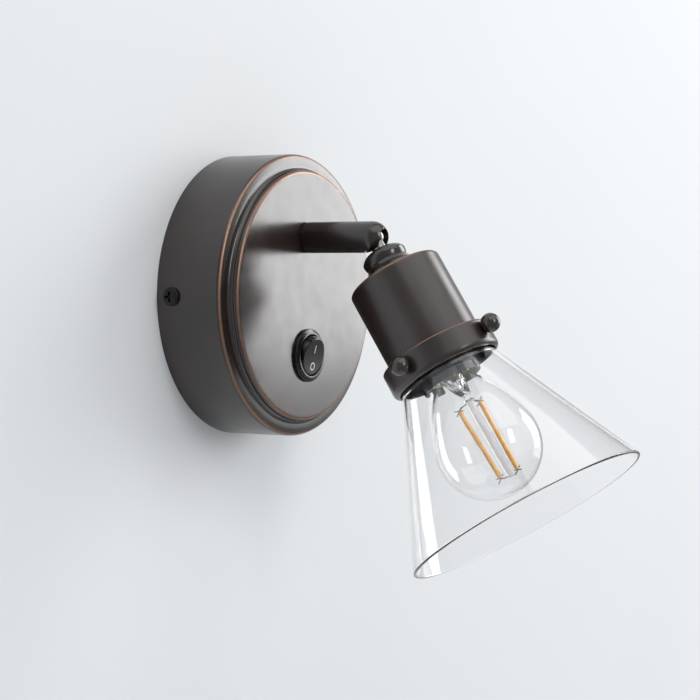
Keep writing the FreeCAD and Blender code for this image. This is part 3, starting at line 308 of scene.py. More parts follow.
def cut(piece: bpy.types.Object, *cutters: bpy.types.Object) -> None:
    """Cuts cutters out of a piece and throws them away.

    Args:
        piece: the piece to cut.
        *cutters: closed shapes, taken out one after another.
    """
    for cutter in cutters:
        finish_with(piece, "BOOLEAN", operation="DIFFERENCE", solver="EXACT", object=cutter)
        bpy.data.objects.remove(cutter)


def join(name: str, pieces: list[bpy.types.Object]) -> bpy.types.Object:
    """Makes several pieces one.

    Args:
        name: the joined piece's name.
        pieces: the pieces to join.

    Returns:
        The joined piece.
    """
    deselect()
    for piece in pieces:
        piece.select_set(True)
    bpy.context.view_layer.objects.active = pieces[0]
    bpy.ops.object.join()
    return named(bpy.context.object, name)


def drill(start: Vector, end: Vector, radius: float, sides: int = 48) -> bpy.types.Object:
    """A round cutter from one point to another, in millimetres.

    Args:
        start: the middle of its first end.
        end: the middle of its last end.
        radius: its radius.
        sides: how many faces go round.

    Returns:
        The cutter, with its place in its mesh.
    """
    along = end - start
    turn = along.to_track_quat("Z", "Y").to_euler()
    deselect()
    bpy.ops.mesh.primitive_cylinder_add(vertices=sides, radius=mm(radius), depth=mm(along.length),
                                        location=(start + end) / 2000, rotation=turn)
    cutter = bpy.context.object
    fix_place(cutter)
    return cutter


def brick(centre: Vector, size: Vector, turn: float = 0.0) -> bpy.types.Object:
    """A block in millimetres, turned about the upright axis through the origin.

    Args:
        centre: its middle, before the turn.
        size: its width, depth and height.
        turn: the turn in degrees.

    Returns:
        The block, with its place in its mesh.
    """
    deselect()
    bpy.ops.mesh.primitive_cube_add(size=1, location=(0, 0, 0))
    block = bpy.context.object
    place = Matrix.Rotation(math.radians(turn), 4, "Z") @ Matrix.Translation(centre / 1000)
    block.matrix_world = place @ Matrix.Diagonal((*(size / 1000), 1))
    fix_place(block)
    return block


def wire(name: str, runs: Iterable[list[Vector]], radius: float,
         sides: int = 3) -> bpy.types.Object:
    """Thin round wires along runs of points in millimetres, made one mesh.

    Args:
        name: the piece's name.
        runs: the points that each wire follows.
        radius: the wires' radius.
        sides: the curve's bevel resolution.

    Returns:
        The wires, with closed ends.
    """
    shape = bpy.data.curves.new(name, "CURVE")
    shape.dimensions = "3D"
    shape.bevel_depth = mm(radius)
    shape.bevel_resolution = sides
    shape.use_fill_caps = True
    for run in runs:
        spline = shape.splines.new("NURBS" if len(run) > 2 else "POLY")
        spline.points.add(len(run) - 1)
        for point, place in zip(spline.points, run):
            point.co = (*(place / 1000), 1)
        if len(run) > 2:
            spline.order_u = 3
            spline.use_endpoint_u = True
    line = bpy.data.objects.new(name, shape)
    bpy.context.scene.collection.objects.link(line)
    pick(line)
    bpy.ops.object.convert(target="MESH")
    return named(bpy.context.object, name)


@dataclass(frozen=True)
class Seat:
    """Where a sub-assembly's own upright frame sits in the lamp, and the body that carries it."""

    body: str
    tilt: float
    place: Vector

    def settle(self, piece: bpy.types.Object, finish: "Finish", *nodes: str) -> bpy.types.Object:
        """Puts a finished piece in its place, dresses it and hands it to its body.

        Args:
            piece: the piece, upright at the origin.
            finish: what it is made of.
            *nodes: the plain nodes that it stands for.

        Returns:
            The piece, at rest in the lamp.
        """
        pick(piece)
        bpy.ops.object.shade_smooth_by_angle(angle=SMOOTH_ANGLE)
        turn = Matrix.Rotation(math.radians(self.tilt), 4, "X")
        piece.matrix_world = Matrix.Translation(self.place / 1000) @ turn
        fix_place(piece)
        finish.dress(piece)
        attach(piece, self.body)
        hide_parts(*nodes)
        LOG.info("%s: %d faces, rides on %s", piece.name, len(piece.data.polygons), self.body)
        return piece


# ---- Finishes ----------------------------------------------------------------------------
Value = object


def add_node(tree: bpy.types.NodeTree, kind: str, inputs: dict[str | int, Value] | None = None,
             **settings: Value) -> bpy.types.Node:
    """Adds a shader node with its settings, and sets or links its inputs.

    Args:
        tree: the material's node tree.
        kind: the node's type.
        inputs: a value or an output socket for each input, by name or number.
        **settings: the node's options.

    Returns:
        The node.
    """
    node = tree.nodes.new(kind)
    for key, value in settings.items():
        setattr(node, key, value)
    for key, value in (inputs or {}).items():
        if isinstance(value, bpy.types.NodeSocket):
            tree.links.new(value, node.inputs[key])
        else:
            node.inputs[key].default_value = value
    return node


class Surface:
    """A material being made: its node tree, its shader and the patterns that feed them."""

    def __init__(self, name: str) -> None:
        """Starts a material with a Principled shader and Object coordinates.

        Args:
            name: the material's name.
        """
        self.material = bpy.data.materials.new(name)
        self.material.use_nodes = True
        self.tree = self.material.node_tree
        self.shader = self.tree.nodes["Principled BSDF"]
        self.object = self.add("ShaderNodeTexCoord").outputs["Object"]

    def add(self, kind: str, inputs: dict[str | int, Value] | None = None,
            **settings: Value) -> bpy.types.Node:
        """Adds a node to this material."""
        return add_node(self.tree, kind, inputs, **settings)

    def set(self, **values: Value) -> None:
        """Sets or links the shader's own sockets.

        Args:
            **values: a value or an output socket for each, named with _ for a space.
        """
        for key, value in values.items():
            socket = self.shader.inputs[key.replace("_", " ")]
            if isinstance(value, bpy.types.NodeSocket):
                self.tree.links.new(value, socket)
            else:
                socket.default_value = value

    def noise(self, size_mm: float, detail: float = 2.0, rough: float = 0.5,
              stretch: tuple[float, float, float] = (1, 1, 1)) -> bpy.types.NodeSocket:
        """A noise on Object coordinates.

        Args:
            size_mm: about how wide its grains are.
            detail: how many finer layers it has.
            rough: how strong the finer layers are.
            stretch: how its coordinates are scaled along each axis.

        Returns:
            The noise, from 0 to 1.
        """
        place = self.add("ShaderNodeMapping", {"Vector": self.object, "Scale": stretch})
        pattern = self.add("ShaderNodeTexNoise", {
            "Vector": place.outputs[0], "Scale": 1000 / size_mm, "Detail": detail,
            "Roughness": rough})
        return pattern.outputs["Fac"]

    def between(self, factor: bpy.types.NodeSocket, low: float, high: float, start: float = 0.3,
                end: float = 0.7) -> bpy.types.NodeSocket:
        """A factor from start to end turned into a value from low to high."""
        return self.add("ShaderNodeMapRange", {"Value": factor, "From Min": start, "From Max": end,
                                               "To Min": low, "To Max": high}).outputs["Result"]

    def blend(self, factor: bpy.types.NodeSocket, first: Value,
              second: Value) -> bpy.types.NodeSocket:
        """A mix of two colours."""
        node = self.add("ShaderNodeMix", {0: factor, 6: first, 7: second}, data_type="RGBA")
        return node.outputs[2]

    def times(self, first: Value, second: Value) -> bpy.types.NodeSocket:
        """The product of two values."""
        return self.add("ShaderNodeMath", {0: first, 1: second}, operation="MULTIPLY").outputs[0]

    def bump(self, height: bpy.types.NodeSocket, depth_mm: float) -> None:
        """Raises the surface by a pattern.

        Args:
            height: the pattern, from 0 to 1.
            depth_mm: how far its highest stands over its lowest.
        """
        node = self.add("ShaderNodeBump", {"Height": height, "Distance": mm(depth_mm),
                                           "Strength": 1.0})
        self.set(Normal=node.outputs["Normal"])

    def instead(self, share: bpy.types.NodeSocket, other: bpy.types.Node) -> None:
        """Shows another shader in place of the material's own, by a share of it.

        Args:
            share: 1 where only the other shader shows.
            other: the other shader's node.
        """
        either = self.add("ShaderNodeMixShader", {0: share, 1: self.shader.outputs[0],
                                                  2: other.outputs[0]})
        surface = self.tree.nodes["Material Output"].inputs["Surface"]
        self.tree.links.new(either.outputs[0], surface)


@dataclass(frozen=True)
class Finish:
    """What a surface is made of and how it was made. Each kind says what that gives the eye."""

    name: str
    slot: str
    colour: str
    roughness: float
    uneven: tuple[float, float] = (0.0, 0.0)

    def coat(self, surface: Surface) -> None:
        """Sets the shader. Each kind of finish does this its own way."""
        surface.set(Base_Color=linear(self.colour), Roughness=self.roughness)

    def polish(self, surface: Surface, marks: bpy.types.NodeSocket) -> bpy.types.NodeSocket:
        """The roughness, from a little smoother to a little duller along a pattern of marks."""
        smoother, duller = self.uneven
        return surface.between(marks, self.roughness - smoother, self.roughness + duller)

    def material(self) -> bpy.types.Material:
        """The material, made once however many pieces wear it.

        Returns:
            The one that is there already, or a new one.
        """
        found = bpy.data.materials.get(self.name)
        if found:
            return found
        surface = Surface(self.name)
        self.coat(surface)
        return surface.material

    def dress(self, piece: bpy.types.Object) -> None:
        """Puts this finish all over a piece.

        Args:
            piece: the piece to dress.
        """
        piece.data.materials.clear()
        piece.data.materials.append(self.material())


@dataclass(frozen=True)
class RubbedBronze(Finish):
    """Brown-black lacquer on steel, satin, sprayed and then rubbed to copper along its edges.

    The spray leaves a fine orange peel. Copper flake under the lacquer lightens it unevenly.
    """

    uneven: tuple[float, float] = (0.02, 0.03)
    shine: float = 0.88
    copper: str = "#937462"
    copper_metallic: float = 0.9
    copper_duller: float = 0.12
    flake: str = "#2f2420"
    peel_mm: float = 0.9
    peel_depth_mm: float = 0.0008
    cloud_mm: float = 26.0
    scuff_mm: float = 1.6

    def coat(self, surface: Surface) -> None:
        """Clouds the brown lacquer and lays copper on the worn edges.

        Args:
            surface: the material to set.
        """
        clouds = surface.noise(self.cloud_mm, 3.0, 0.55)
        body = surface.blend(surface.between(clouds, 0, 1), linear(self.colour), linear(self.flake))
        worn = surface.add("ShaderNodeAttribute", attribute_name=RUBBED).outputs["Fac"]
        scuffs = surface.between(surface.noise(self.scuff_mm, 3.0, 0.65), 0.8, 1.25, 0.38, 0.62)
        shown = surface.add("ShaderNodeMath", {0: surface.times(worn, scuffs), 1: 1.0},
                            operation="MINIMUM").outputs[0]
        satin = self.polish(surface, surface.noise(self.cloud_mm / 3))
        duller = surface.times(shown, self.copper_duller)
        surface.set(Base_Color=surface.blend(shown, body, linear(self.copper)),
                    Metallic=surface.between(shown, 0.0, self.copper_metallic, 0, 1),
                    Specular_IOR_Level=self.shine,
                    Roughness=surface.add("ShaderNodeMath", {0: satin, 1: duller},
                                          operation="ADD").outputs[0])
        surface.bump(surface.noise(self.peel_mm, 1.5), self.peel_depth_mm)


@dataclass(frozen=True)
class Metal(Finish):
    """Bare or plated metal: a clear reflection, broken by faint marks of its making."""

    uneven: tuple[float, float] = (0.06, 0.08)
    grain_mm: float = 0.6
    stretch: tuple[float, float, float] = (1, 1, 1)
    depth_mm: float = 0.002
    stain: str = "#000000"
    stain_share: float = 0.12

    def coat(self, surface: Surface) -> None:
        """Varies the tone and the polish along the marks.

        Args:
            surface: the material to set.
        """
        marks = surface.noise(self.grain_mm, 3.0, 0.6, self.stretch)
        stains = surface.between(surface.noise(9 * self.grain_mm, 2.0), 0, self.stain_share)
        surface.set(Base_Color=surface.blend(stains, linear(self.colour), linear(self.stain)),
                    Metallic=1.0, Roughness=self.polish(surface, marks))
        surface.bump(marks, self.depth_mm)


@dataclass(frozen=True)
class Moulding(Finish):
    """Moulded plastic or thermoset: a dull skin with the fine pits of its eroded mould."""

    uneven: tuple[float, float] = (0.04, 0.05)
    ior: float = 1.5
    pit_mm: float = 0.35
    pit_depth_mm: float = 0.006
    bloom: str = "#3a3c44"
    bloom_mm: float = 5.0
    see_through: float = 0.0

    def coat(self, surface: Surface) -> None:
        """Pits the skin and lets a faint bloom lighten it.

        Args:
            surface: the material to set.
        """
        bloom = surface.between(surface.noise(self.bloom_mm, 3.0, 0.6), 0, 0.35)
        surface.set(Base_Color=surface.blend(bloom, linear(self.colour), linear(self.bloom)),
                    IOR=self.ior, Roughness=self.polish(surface, surface.noise(self.bloom_mm / 4)),
                    Subsurface_Weight=self.see_through, Subsurface_Scale=mm(1))
        surface.bump(surface.noise(self.pit_mm, 2.0, 0.6), self.pit_depth_mm)


@dataclass(frozen=True)
class Insulation(Finish):
    """Soft wire insulation, extruded: smooth along its length, with a second colour as a stripe."""

    uneven: tuple[float, float] = (0.05, 0.08)
    stripe: str = "#000000"
    striped: float = 0.0
    stripe_mm: float = 2.6

    def coat(self, surface: Surface) -> None:
        """Stripes the insulation where it has a second colour, and dulls it a little unevenly.

        Args:
            surface: the material to set.
        """
        bands = surface.add("ShaderNodeTexWave", {
            "Vector": surface.object, "Scale": BANDS_PER_MM / self.stripe_mm, "Distortion": 0.6,
            "Detail": 0.0}, wave_type="BANDS", bands_direction="DIAGONAL").outputs["Fac"]
        share = surface.times(surface.between(bands, 0, 1, 0.46, 0.54), self.striped)
        surface.set(Base_Color=surface.blend(share, linear(self.colour), linear(self.stripe)),
                    Roughness=self.polish(surface, surface.noise(3.0)))
        surface.bump(surface.noise(1.2), 0.01)


@dataclass(frozen=True)
class ClearGlass(Finish):
    """Drawn or blown soda glass, fire polished: clear, a touch grey, faintly uneven in thickness.

    Lamps shine through it, so it throws no hard shadow. A flamed rim is duller than the walls.
    """

    ior: float = 1.5
    ripple_mm: float = 14.0
    ripple_depth_mm: float = 0.01
    passes: str = "#f8f9f9"
    rim_roughness: float = 0.0

    def coat(self, surface: Surface) -> None:
        """Makes the glass refract, and lets the light of lamps pass straight through it.

        Args:
            surface: the material to set.
        """
        surface.set(Base_Color=linear(self.colour), Roughness=self.roughness, IOR=self.ior,
                    Transmission_Weight=1.0)
        if self.rim_roughness > self.roughness:
            rim = surface.add("ShaderNodeAttribute", attribute_name=RUBBED).outputs["Fac"]
            surface.set(Roughness=surface.between(rim, self.roughness, self.rim_roughness, 0, 1))
        surface.bump(surface.noise(self.ripple_mm, 1.0), self.ripple_depth_mm)
        clear = surface.add("ShaderNodeBsdfTransparent", {"Color": linear(self.passes)})
        shadow = surface.add("ShaderNodeLightPath").outputs["Is Shadow Ray"]
        surface.instead(shadow, clear)


@dataclass(frozen=True)
class MilkyGlass(Finish):
    """Drawn glass rod, clouded white: most of the light comes through, the rest is scattered."""

    ior: float = 1.5
    clear: float = 0.7
    streak_mm: float = 1.5
    streaked: str = "#eeebed"

    def coat(self, surface: Surface) -> None:
        """Clouds the glass with faint streaks along its length.

        Args:
            surface: the material to set.
        """
        streaks = surface.between(surface.noise(self.streak_mm, 2.0, 0.5, (1, 1, 0.2)), 0, 0.7)
        surface.set(Base_Color=surface.blend(streaks, linear(self.colour), linear(self.streaked)),
                    Roughness=self.roughness, IOR=self.ior, Transmission_Weight=self.clear)


@dataclass(frozen=True)
class Silicone(Finish):
    """Yellow phosphor in clear silicone, dabbed on a strip: waxy, darker where it is thick."""

    thick: str = "#f0a63c"
    dab_mm: float = 2.4

    def coat(self, surface: Surface) -> None:
        """Clouds the yellow with the thicker dabs and lets light into it.

        Args:
            surface: the material to set.
        """
        dabs = surface.between(surface.noise(self.dab_mm, 3.0, 0.6), 0, 0.85, 0.35, 0.65)
        surface.set(Base_Color=surface.blend(dabs, linear(self.colour), linear(self.thick)),
                    Roughness=self.roughness, Subsurface_Weight=0.3, Subsurface_Scale=mm(0.8))
        surface.bump(surface.noise(0.6, 3.0), 0.03)


BRONZE = RubbedBronze("rubbed_bronze_lacquer", "bronze_enamel", "#1c1412", 0.22)
BRONZE_SATIN = RubbedBronze("rubbed_bronze_lacquer_satin", "bronze_enamel", "#221917", 0.3)
BRONZE_GLOSS = RubbedBronze("rubbed_bronze_lacquer_gloss", "bronze_enamel", "#151214", 0.2)
BLACK_OXIDE = Metal("black_oxide_steel", "black_steel", "#3b3a3c", 0.38, stain="#17171a",
                    stain_share=0.5)
ZINC = Metal("bright_zinc_plate", "zinc_steel", "#c3c5c8", 0.28, stretch=(1, 1, 0.2),
             stain="#8c9099", stain_share=0.4)
NICKEL = Metal("nickel_plate", "nickel", "#8b8885", 0.2, stain="#8f8b84", stain_share=0.3)
BRASS = Metal("pressed_brass", "brass", "#c9a45c", 0.26, stain="#8a6a34", stain_share=0.35)
BAKELITE = Moulding("black_thermoset", "black_bakelite", "#16181f", 0.4, ior=1.6, bloom="#272a35")
SLEEVE = Moulding("grey_thermoset", "black_bakelite", "#3a3c45", 0.45, ior=1.6, bloom="#4c4f5a")
SWITCH = Moulding("black_switch_nylon", "switch_plastic", "#0d0e10", 0.24, ior=1.53,
                  bloom="#232426")
NYLON = Moulding("natural_nylon", "natural_nylon", "#ddd9cb", 0.4, ior=1.53, bloom="#c8c2ae",
                 see_through=0.2)
SHADE_GLASS = ClearGlass("blown_soda_glass", "clear_glass", "#fefefe", 0.0, rim_roughness=0.3)
BULB_GLASS = ClearGlass("thin_bulb_glass", "bulb_clear_glass", "#fefefe", 0.0, ripple_mm=9.0,
                        ripple_depth_mm=0.004)
PILLAR_GLASS = MilkyGlass("drawn_milky_glass", "pillar_glass", "#fdfbfc", 0.3)
FINE_WIRE = Metal("oxidised_nickel_wire", "nickel", "#6d6a68", 0.3, stain="#2e2c2b",
                  stain_share=0.6)
FILAMENT = Silicone("phosphor_silicone", "filament_coating", "#fbc469", 0.4)
BROWN_WIRE = Insulation("brown_wire_insulation", "brown_insulation", "#5a3624", 0.4)
BLUE_WIRE = Insulation("blue_wire_insulation", "blue_insulation", "#2457a6", 0.4)
EARTH_WIRE = Insulation("green_yellow_wire_insulation", "green_yellow_insulation", "#3f9a3a", 0.4,
                        stripe="#e3cf2f", striped=1.0)
CEMENT = Moulding("bulb_cement", "natural_nylon", "#c3c382", 0.55, bloom="#5c5e35", bloom_mm=1.6,
                  pit_depth_mm=0.05)
PRINT = Moulding("white_printing_ink", "natural_nylon", "#e9e9e6", 0.45, bloom="#d3d3d0")

PLAIN_NODES = {
    ZINC: ("mounting_bracket", "terminal_screws", "rocker_pivot_pin", "arm_stop_pin", "arm_nipple",
           "arm_stop_washer", "arm_spring_washer", "arm_nut", "disc_springs", "cup_lock_washer",
           "cup_nut"),
    NICKEL: ("earth_ring_tag", "switch_receptacles", "bulb_tip"),
    BRASS: ("earth_screw", "terminal_barrels", "switch_blades", "holder_terminals",
            "thread_shell", "centre_contact"),
    BAKELITE: ("holder_cap", "holder_shade_nut", "holder_insert", "bulb_insulator"),
    NYLON: ("terminal_block", "ball_seat_bush"),
    SWITCH: ("arm_glide_washer",),
    BROWN_WIRE: ("live_wire", "switched_wire", "live_lead"),
    BLUE_WIRE: ("neutral_wire", "neutral_lead"),
    EARTH_WIRE: ("earth_wire",),
}


# ---- Wall plate: canopy, side screws and switch ---------------------------------------------
@dataclass
class Canopy:
    """The spun canopy: a deep rim, a swelling ledge, a cove and a raised plate."""

    seat: Seat
    arm_height: float
    switch_drop: float
    radius: float = 63.5
    plate_depth: float = 37.2
    step_width: float = 7.2
    step_height: float = 4.4
    sheet: float = 1.2
    rim_round: float = 2.1
    rim_worn: tuple[float, float] = (0.42, 0.95)
    ledge_rise: float = 0.3
    cove: float = 2.0
    plate_round: float = 1.8
    plate_worn: tuple[float, float] = (0.4, 1.0)
    flat: float = 26.0
    fall: float = 0.3
    arm_hole: float = 5.32
    switch_hole: float = 10.1
    screw_hole: float = 2.2
    screw_depth: float = 7.9

    def outline(self) -> Outline:
        """The half-section of the sheet, from the wall out over the rim to the middle and back.

        Returns:
            The outline that the canopy is turned from.
        """
        ledge, plate = self.plate_depth - self.step_height, self.radius - self.step_width
        rim = ledge - self.ledge_rise
        cove_radius, cove_depth = plate + self.cove, ledge + self.cove
        span = self.radius - self.rim_round - cove_radius
        swell = (span ** 2 + self.ledge_rise ** 2) / (2 * self.ledge_rise)
        lean = math.degrees(math.asin(span / swell))
        shape = Outline(self.radius - self.sheet, 0).line(self.radius, 0)
        shape.arc(self.radius - self.rim_round, rim - self.rim_round, self.rim_round, 0,
                  90 - lean, 18, self.rim_worn)
        shape.arc(cove_radius, ledge - swell, swell, 90 - lean, 90, 10)
        shape.arc(cove_radius, cove_depth, self.cove, 270, 180, 10)
        edge, drop = plate - self.plate_round, self.plate_depth - self.fall
        shape.arc(edge, drop - self.plate_round, self.plate_round, 0, 90, 18, self.plate_worn)
        middle = (edge + self.flat) / 2
        fallen = self.fall * ((middle - self.flat) / (edge - self.flat)) ** 2
        shape.through((middle, self.plate_depth - fallen), (self.flat, self.plate_depth), 24)
        shape.line(0, self.plate_depth).line(0, self.plate_depth - self.sheet)
        shape.line(plate - self.sheet, drop - self.sheet)
        shape.arc(cove_radius, cove_depth, self.cove + self.sheet, 180, 270, 8)
        inside = self.radius - self.sheet
        return shape.line(inside, rim - self.sheet).line(inside, 0)

    def build(self) -> None:
        """Turns the canopy, and cuts its holes for the arm, the switch and the side screws."""
        shell = turned("canopy_shell", self.outline(), 256)
        deep = Vector((0, 0, 2 * self.plate_depth))
        for place, radius in ((self.arm_height, self.arm_hole),
                              (-self.switch_drop, self.switch_hole)):
            middle = Vector((0, place, 0))
            cut(shell, drill(middle, middle + deep, radius, 96))
        edge = Vector((self.radius + 1, 0, self.screw_depth))
        cut(shell, drill(Vector((-edge.x, 0, edge.z)), edge, self.screw_hole))
        self.seat.settle(shell, BRONZE, "canopy")


@dataclass
class PanHeadScrew:
    """A cross-recessed pan head screw, drawn with its seat at height 0."""

    radius: float = 2.0
    head_radius: float = 4.1
    head_height: float = 2.2
    dome_radius: float = 7.8
    length: float = 9.0
    recess_span: float = 4.4
    recess_width: float = 1.2
    recess_depth: float = 1.4
    corner: float = 0.25
    tip_chamfer: float = 0.3

    def build(self, name: str) -> bpy.types.Object:
        """Turns the screw and cuts its recess.

        Args:
            name: the piece's name.

        Returns:
            The screw, upright at the origin.
        """
        dome_centre = self.head_height - self.dome_radius
        shoulder = dome_centre + math.sqrt(self.dome_radius ** 2 - self.head_radius ** 2)
        corner, edge = self.corner, self.head_radius - self.corner
        shape = Outline(0, -self.length).line(self.radius - self.tip_chamfer, -self.length)
        shape.line(self.radius, self.tip_chamfer - self.length).line(self.radius, 0)
        shape.line(edge, 0).arc(edge, corner, corner, 270, 360, 4)
        shape.arc(edge, shoulder - corner, corner, 0, 70, 4)
        lean = math.degrees(math.acos(edge / self.dome_radius))
        shape.arc(0, dome_centre, self.dome_radius, lean, 90, 10)
        screw = turned(name, shape, 64)
        for span, width in ((self.recess_span, self.recess_width),
                            (self.recess_width, self.recess_span)):
            bar = Vector((span, width, 2 * self.recess_depth))
            cut(screw, brick(Vector((0, 0, self.head_height)), bar))
        return screw


@dataclass
class SideScrews:
    """The two screws that hold the canopy to its bracket."""

    seat: Seat
    screw: PanHeadScrew = field(default_factory=PanHeadScrew)
    canopy_radius: float = 63.5
    depth: float = 7.9
    recess_turn: float = 4.0

    def build(self) -> None:
        """Makes one screw for each side and lays them out as one piece."""
        pair = []
        for side in Side:
            screw = self.screw.build(f"side_screw_{side.name}")
            aim = Matrix.Rotation(math.radians(90 * side.value), 4, "Y")
            aim @= Matrix.Rotation(math.radians(self.recess_turn), 4, "Z")
            place = Vector((side.value * self.canopy_radius, 0, self.depth))
            screw.matrix_world = Matrix.Translation(place / 1000) @ aim
            fix_place(screw)
            pair.append(screw)
        self.seat.settle(join("side_screws", pair), BLACK_OXIDE, "canopy_side_screws")


@dataclass
class RockerSwitch:
    """A round panel switch: its bezel and barrel, and the rocker with its two marks."""

    seat: Seat
    rocker_body: str
    pivot: Vector
    plate_depth: float = 37.2
    bezel_radius: float = 12.0
    bezel_height: float = 2.2
    bezel_sunk: float = 0.2
    bezel_wall: float = 0.9
    bezel_shoulder: float = 0.6
    bezel_slope: float = 65.0
    land: float = 0.85
    lip: float = 0.12
    barrel: float = 10.0
    window: float = 9.4
    body_depth: float = 14.0
    well: float = 10.5
    throw: float = 24.0
    reach: float = 9.1
    cheek: float = 8.4
    below_pivot: float = 4.5
    face: float = 2.9
    face_rings: int = 12
    dish_rise: float = 0.55
    soft_edge: float = 0.7
    mark_height: float = 3.8
    mark_stroke: float = 0.65
    mark_proud: float = 0.03
    bar_place: float = 3.4
    ring_place: float = -4.5

    def bezel(self) -> None:
        """Turns the bezel with its barrel: a sloping wall, a narrow land and a deep well."""
        rear, face = self.plate_depth - self.body_depth, self.plate_depth + self.bezel_height
        sunk = self.plate_depth - self.bezel_sunk
        shape = Outline(0, rear).line(self.barrel, rear).line(self.barrel, sunk)
        shape.line(self.bezel_radius, sunk)
        shape.arc(self.bezel_radius - self.bezel_shoulder, self.plate_depth + self.bezel_wall,
                  self.bezel_shoulder, 0, self.bezel_slope, 6)
        shape.line(self.window + self.land, face)
        shape.arc(self.window + self.lip, face - self.lip, self.lip, 90, 180, 4)
        shape.line(self.window, face - self.well).line(0, face - self.well)
        self.seat.settle(turned("switch_bezel", shape, 128), SWITCH, "switch_housing")

    def dish(self, piece: bpy.types.Object) -> None:
        """Hollows a piece's level face from end to end, and keeps its flank on the rocker's sphere.

        Args:
            piece: the rocker or its marks, level, with the pivot at the origin.
        """
        bow = (self.reach ** 2 + self.dish_rise ** 2) / (2 * self.dish_rise)
        for vertex in piece.data.vertices:
            x, y, z = vertex.co * 1000
            share = min(1.0, max(0.0, z / self.face))
            high = z + share * (bow - math.sqrt(bow ** 2 - y ** 2))
            draw = math.sqrt((self.reach ** 2 - high ** 2) / (self.reach ** 2 - z ** 2))
            vertex.co = Vector((x * draw, y * draw, high)) / 1000

    def tip(self, piece: bpy.types.Object, finish: Finish, *nodes: str) -> None:
        """Tips a piece of the rocker from level to off about the pivot, and seats it."""
        Seat(self.rocker_body, UPRIGHT_TO_WALL + self.throw / 2, self.pivot).settle(
            piece, finish, *nodes)

    def rocker(self) -> None:
        """Turns the rocker as a slice of a sphere, dishes its face and flattens its cheeks."""
        flank, centre_height = self.reach - self.soft_edge, self.face - self.soft_edge
        edge = math.sqrt(flank ** 2 - centre_height ** 2)
        low = math.degrees(math.asin(self.below_pivot / self.reach))
        high = math.degrees(math.asin(centre_height / flank))
        shape = Outline(0, -self.below_pivot).arc(0, 0, self.reach, -low, high, 16)
        shape.arc(edge, centre_height, self.soft_edge, high, 90, 8)
        for i in range(1, self.face_rings + 1):
            shape.add(edge * (1 - i / self.face_rings), self.face)
        cap = turned("rocker_cap", shape, 96)
        self.dish(cap)
        for vertex in cap.data.vertices:
            vertex.co.x = max(-mm(self.cheek), min(mm(self.cheek), vertex.co.x))
        self.tip(cap, SWITCH, "rocker")

    def marks(self) -> None:
        """Prints the bar on the rocker's upper half and the ring on its lower half."""
        low, high = self.face - self.mark_proud, self.face + self.mark_proud
        outer, inner = self.mark_height / 2, self.mark_height / 2 - self.mark_stroke
        bar = brick(Vector((0, self.bar_place, self.face)),
                    Vector((self.mark_stroke, self.mark_height, 2 * self.mark_proud)))
        edit_all(bar)
        bpy.ops.mesh.subdivide(number_cuts=7)
        deselect()
        band = Outline(inner, low).line(outer, low).line(outer, high).line(inner, high)
        ring = turned("mark_ring", band, 64)
        ring.location.y = mm(self.ring_place)
        fix_place(ring)
        marks = join("rocker_marks", [bar, ring])
        self.dish(marks)
        self.tip(marks, PRINT)

    def build(self) -> None:
        """Makes the switch's three visible pieces."""
        self.bezel()
        self.rocker()
        self.marks()


# ---- Arm -----------------------------------------------------------------------------------
@dataclass
class Arm:
    """The round arm with its domed, slotted end."""

    seat: Seat
    ball_reach: float
    plate_depth: float = 37.2
    glide: float = 0.6
    radius: float = 7.0
    bore: float = 5.07
    chamfer: float = 0.6
    slot_half: float = 3.7
    dome_rings: int = 8

    def build(self) -> None:
        """Turns the tube with its dome, and saws the slot that the ball's neck swings through."""
        base = self.plate_depth + self.glide
        shape = Outline(self.bore, base).line(self.radius - self.chamfer, base)
        shape.arc(self.radius - self.chamfer, base + self.chamfer, self.chamfer, 270, 360, 4)
        for back in range(self.dome_rings, 0, -1):
            shape.add(self.radius, self.ball_reach - back)
        shape.arc(0, self.ball_reach, self.radius, 0, 90, 24)
        shape.line(0, self.ball_reach + self.bore).arc(0, self.ball_reach, self.bore, 90, 0, 16)
        tube = turned("arm_barrel", shape, 96)
        reach = 2 * self.radius
        ball = Vector((0, 0, self.ball_reach))
        side = Vector((self.slot_half, 0, 0))
        limits = Vector((0, 0, 1)), Vector((0, -1, 0))
        fan = drill(ball - side, ball + side, reach, 96)
        for way in limits:
            edit_all(fan)
            bpy.ops.mesh.bisect(plane_co=ball / 1000, plane_no=way, use_fill=True,
                                clear_inner=True)
        bpy.ops.object.mode_set(mode="OBJECT")
        cut(tube, fan, *[drill(ball, ball + way * reach, self.slot_half) for way in limits])
        self.seat.settle(tube, BRONZE, "arm_tube")


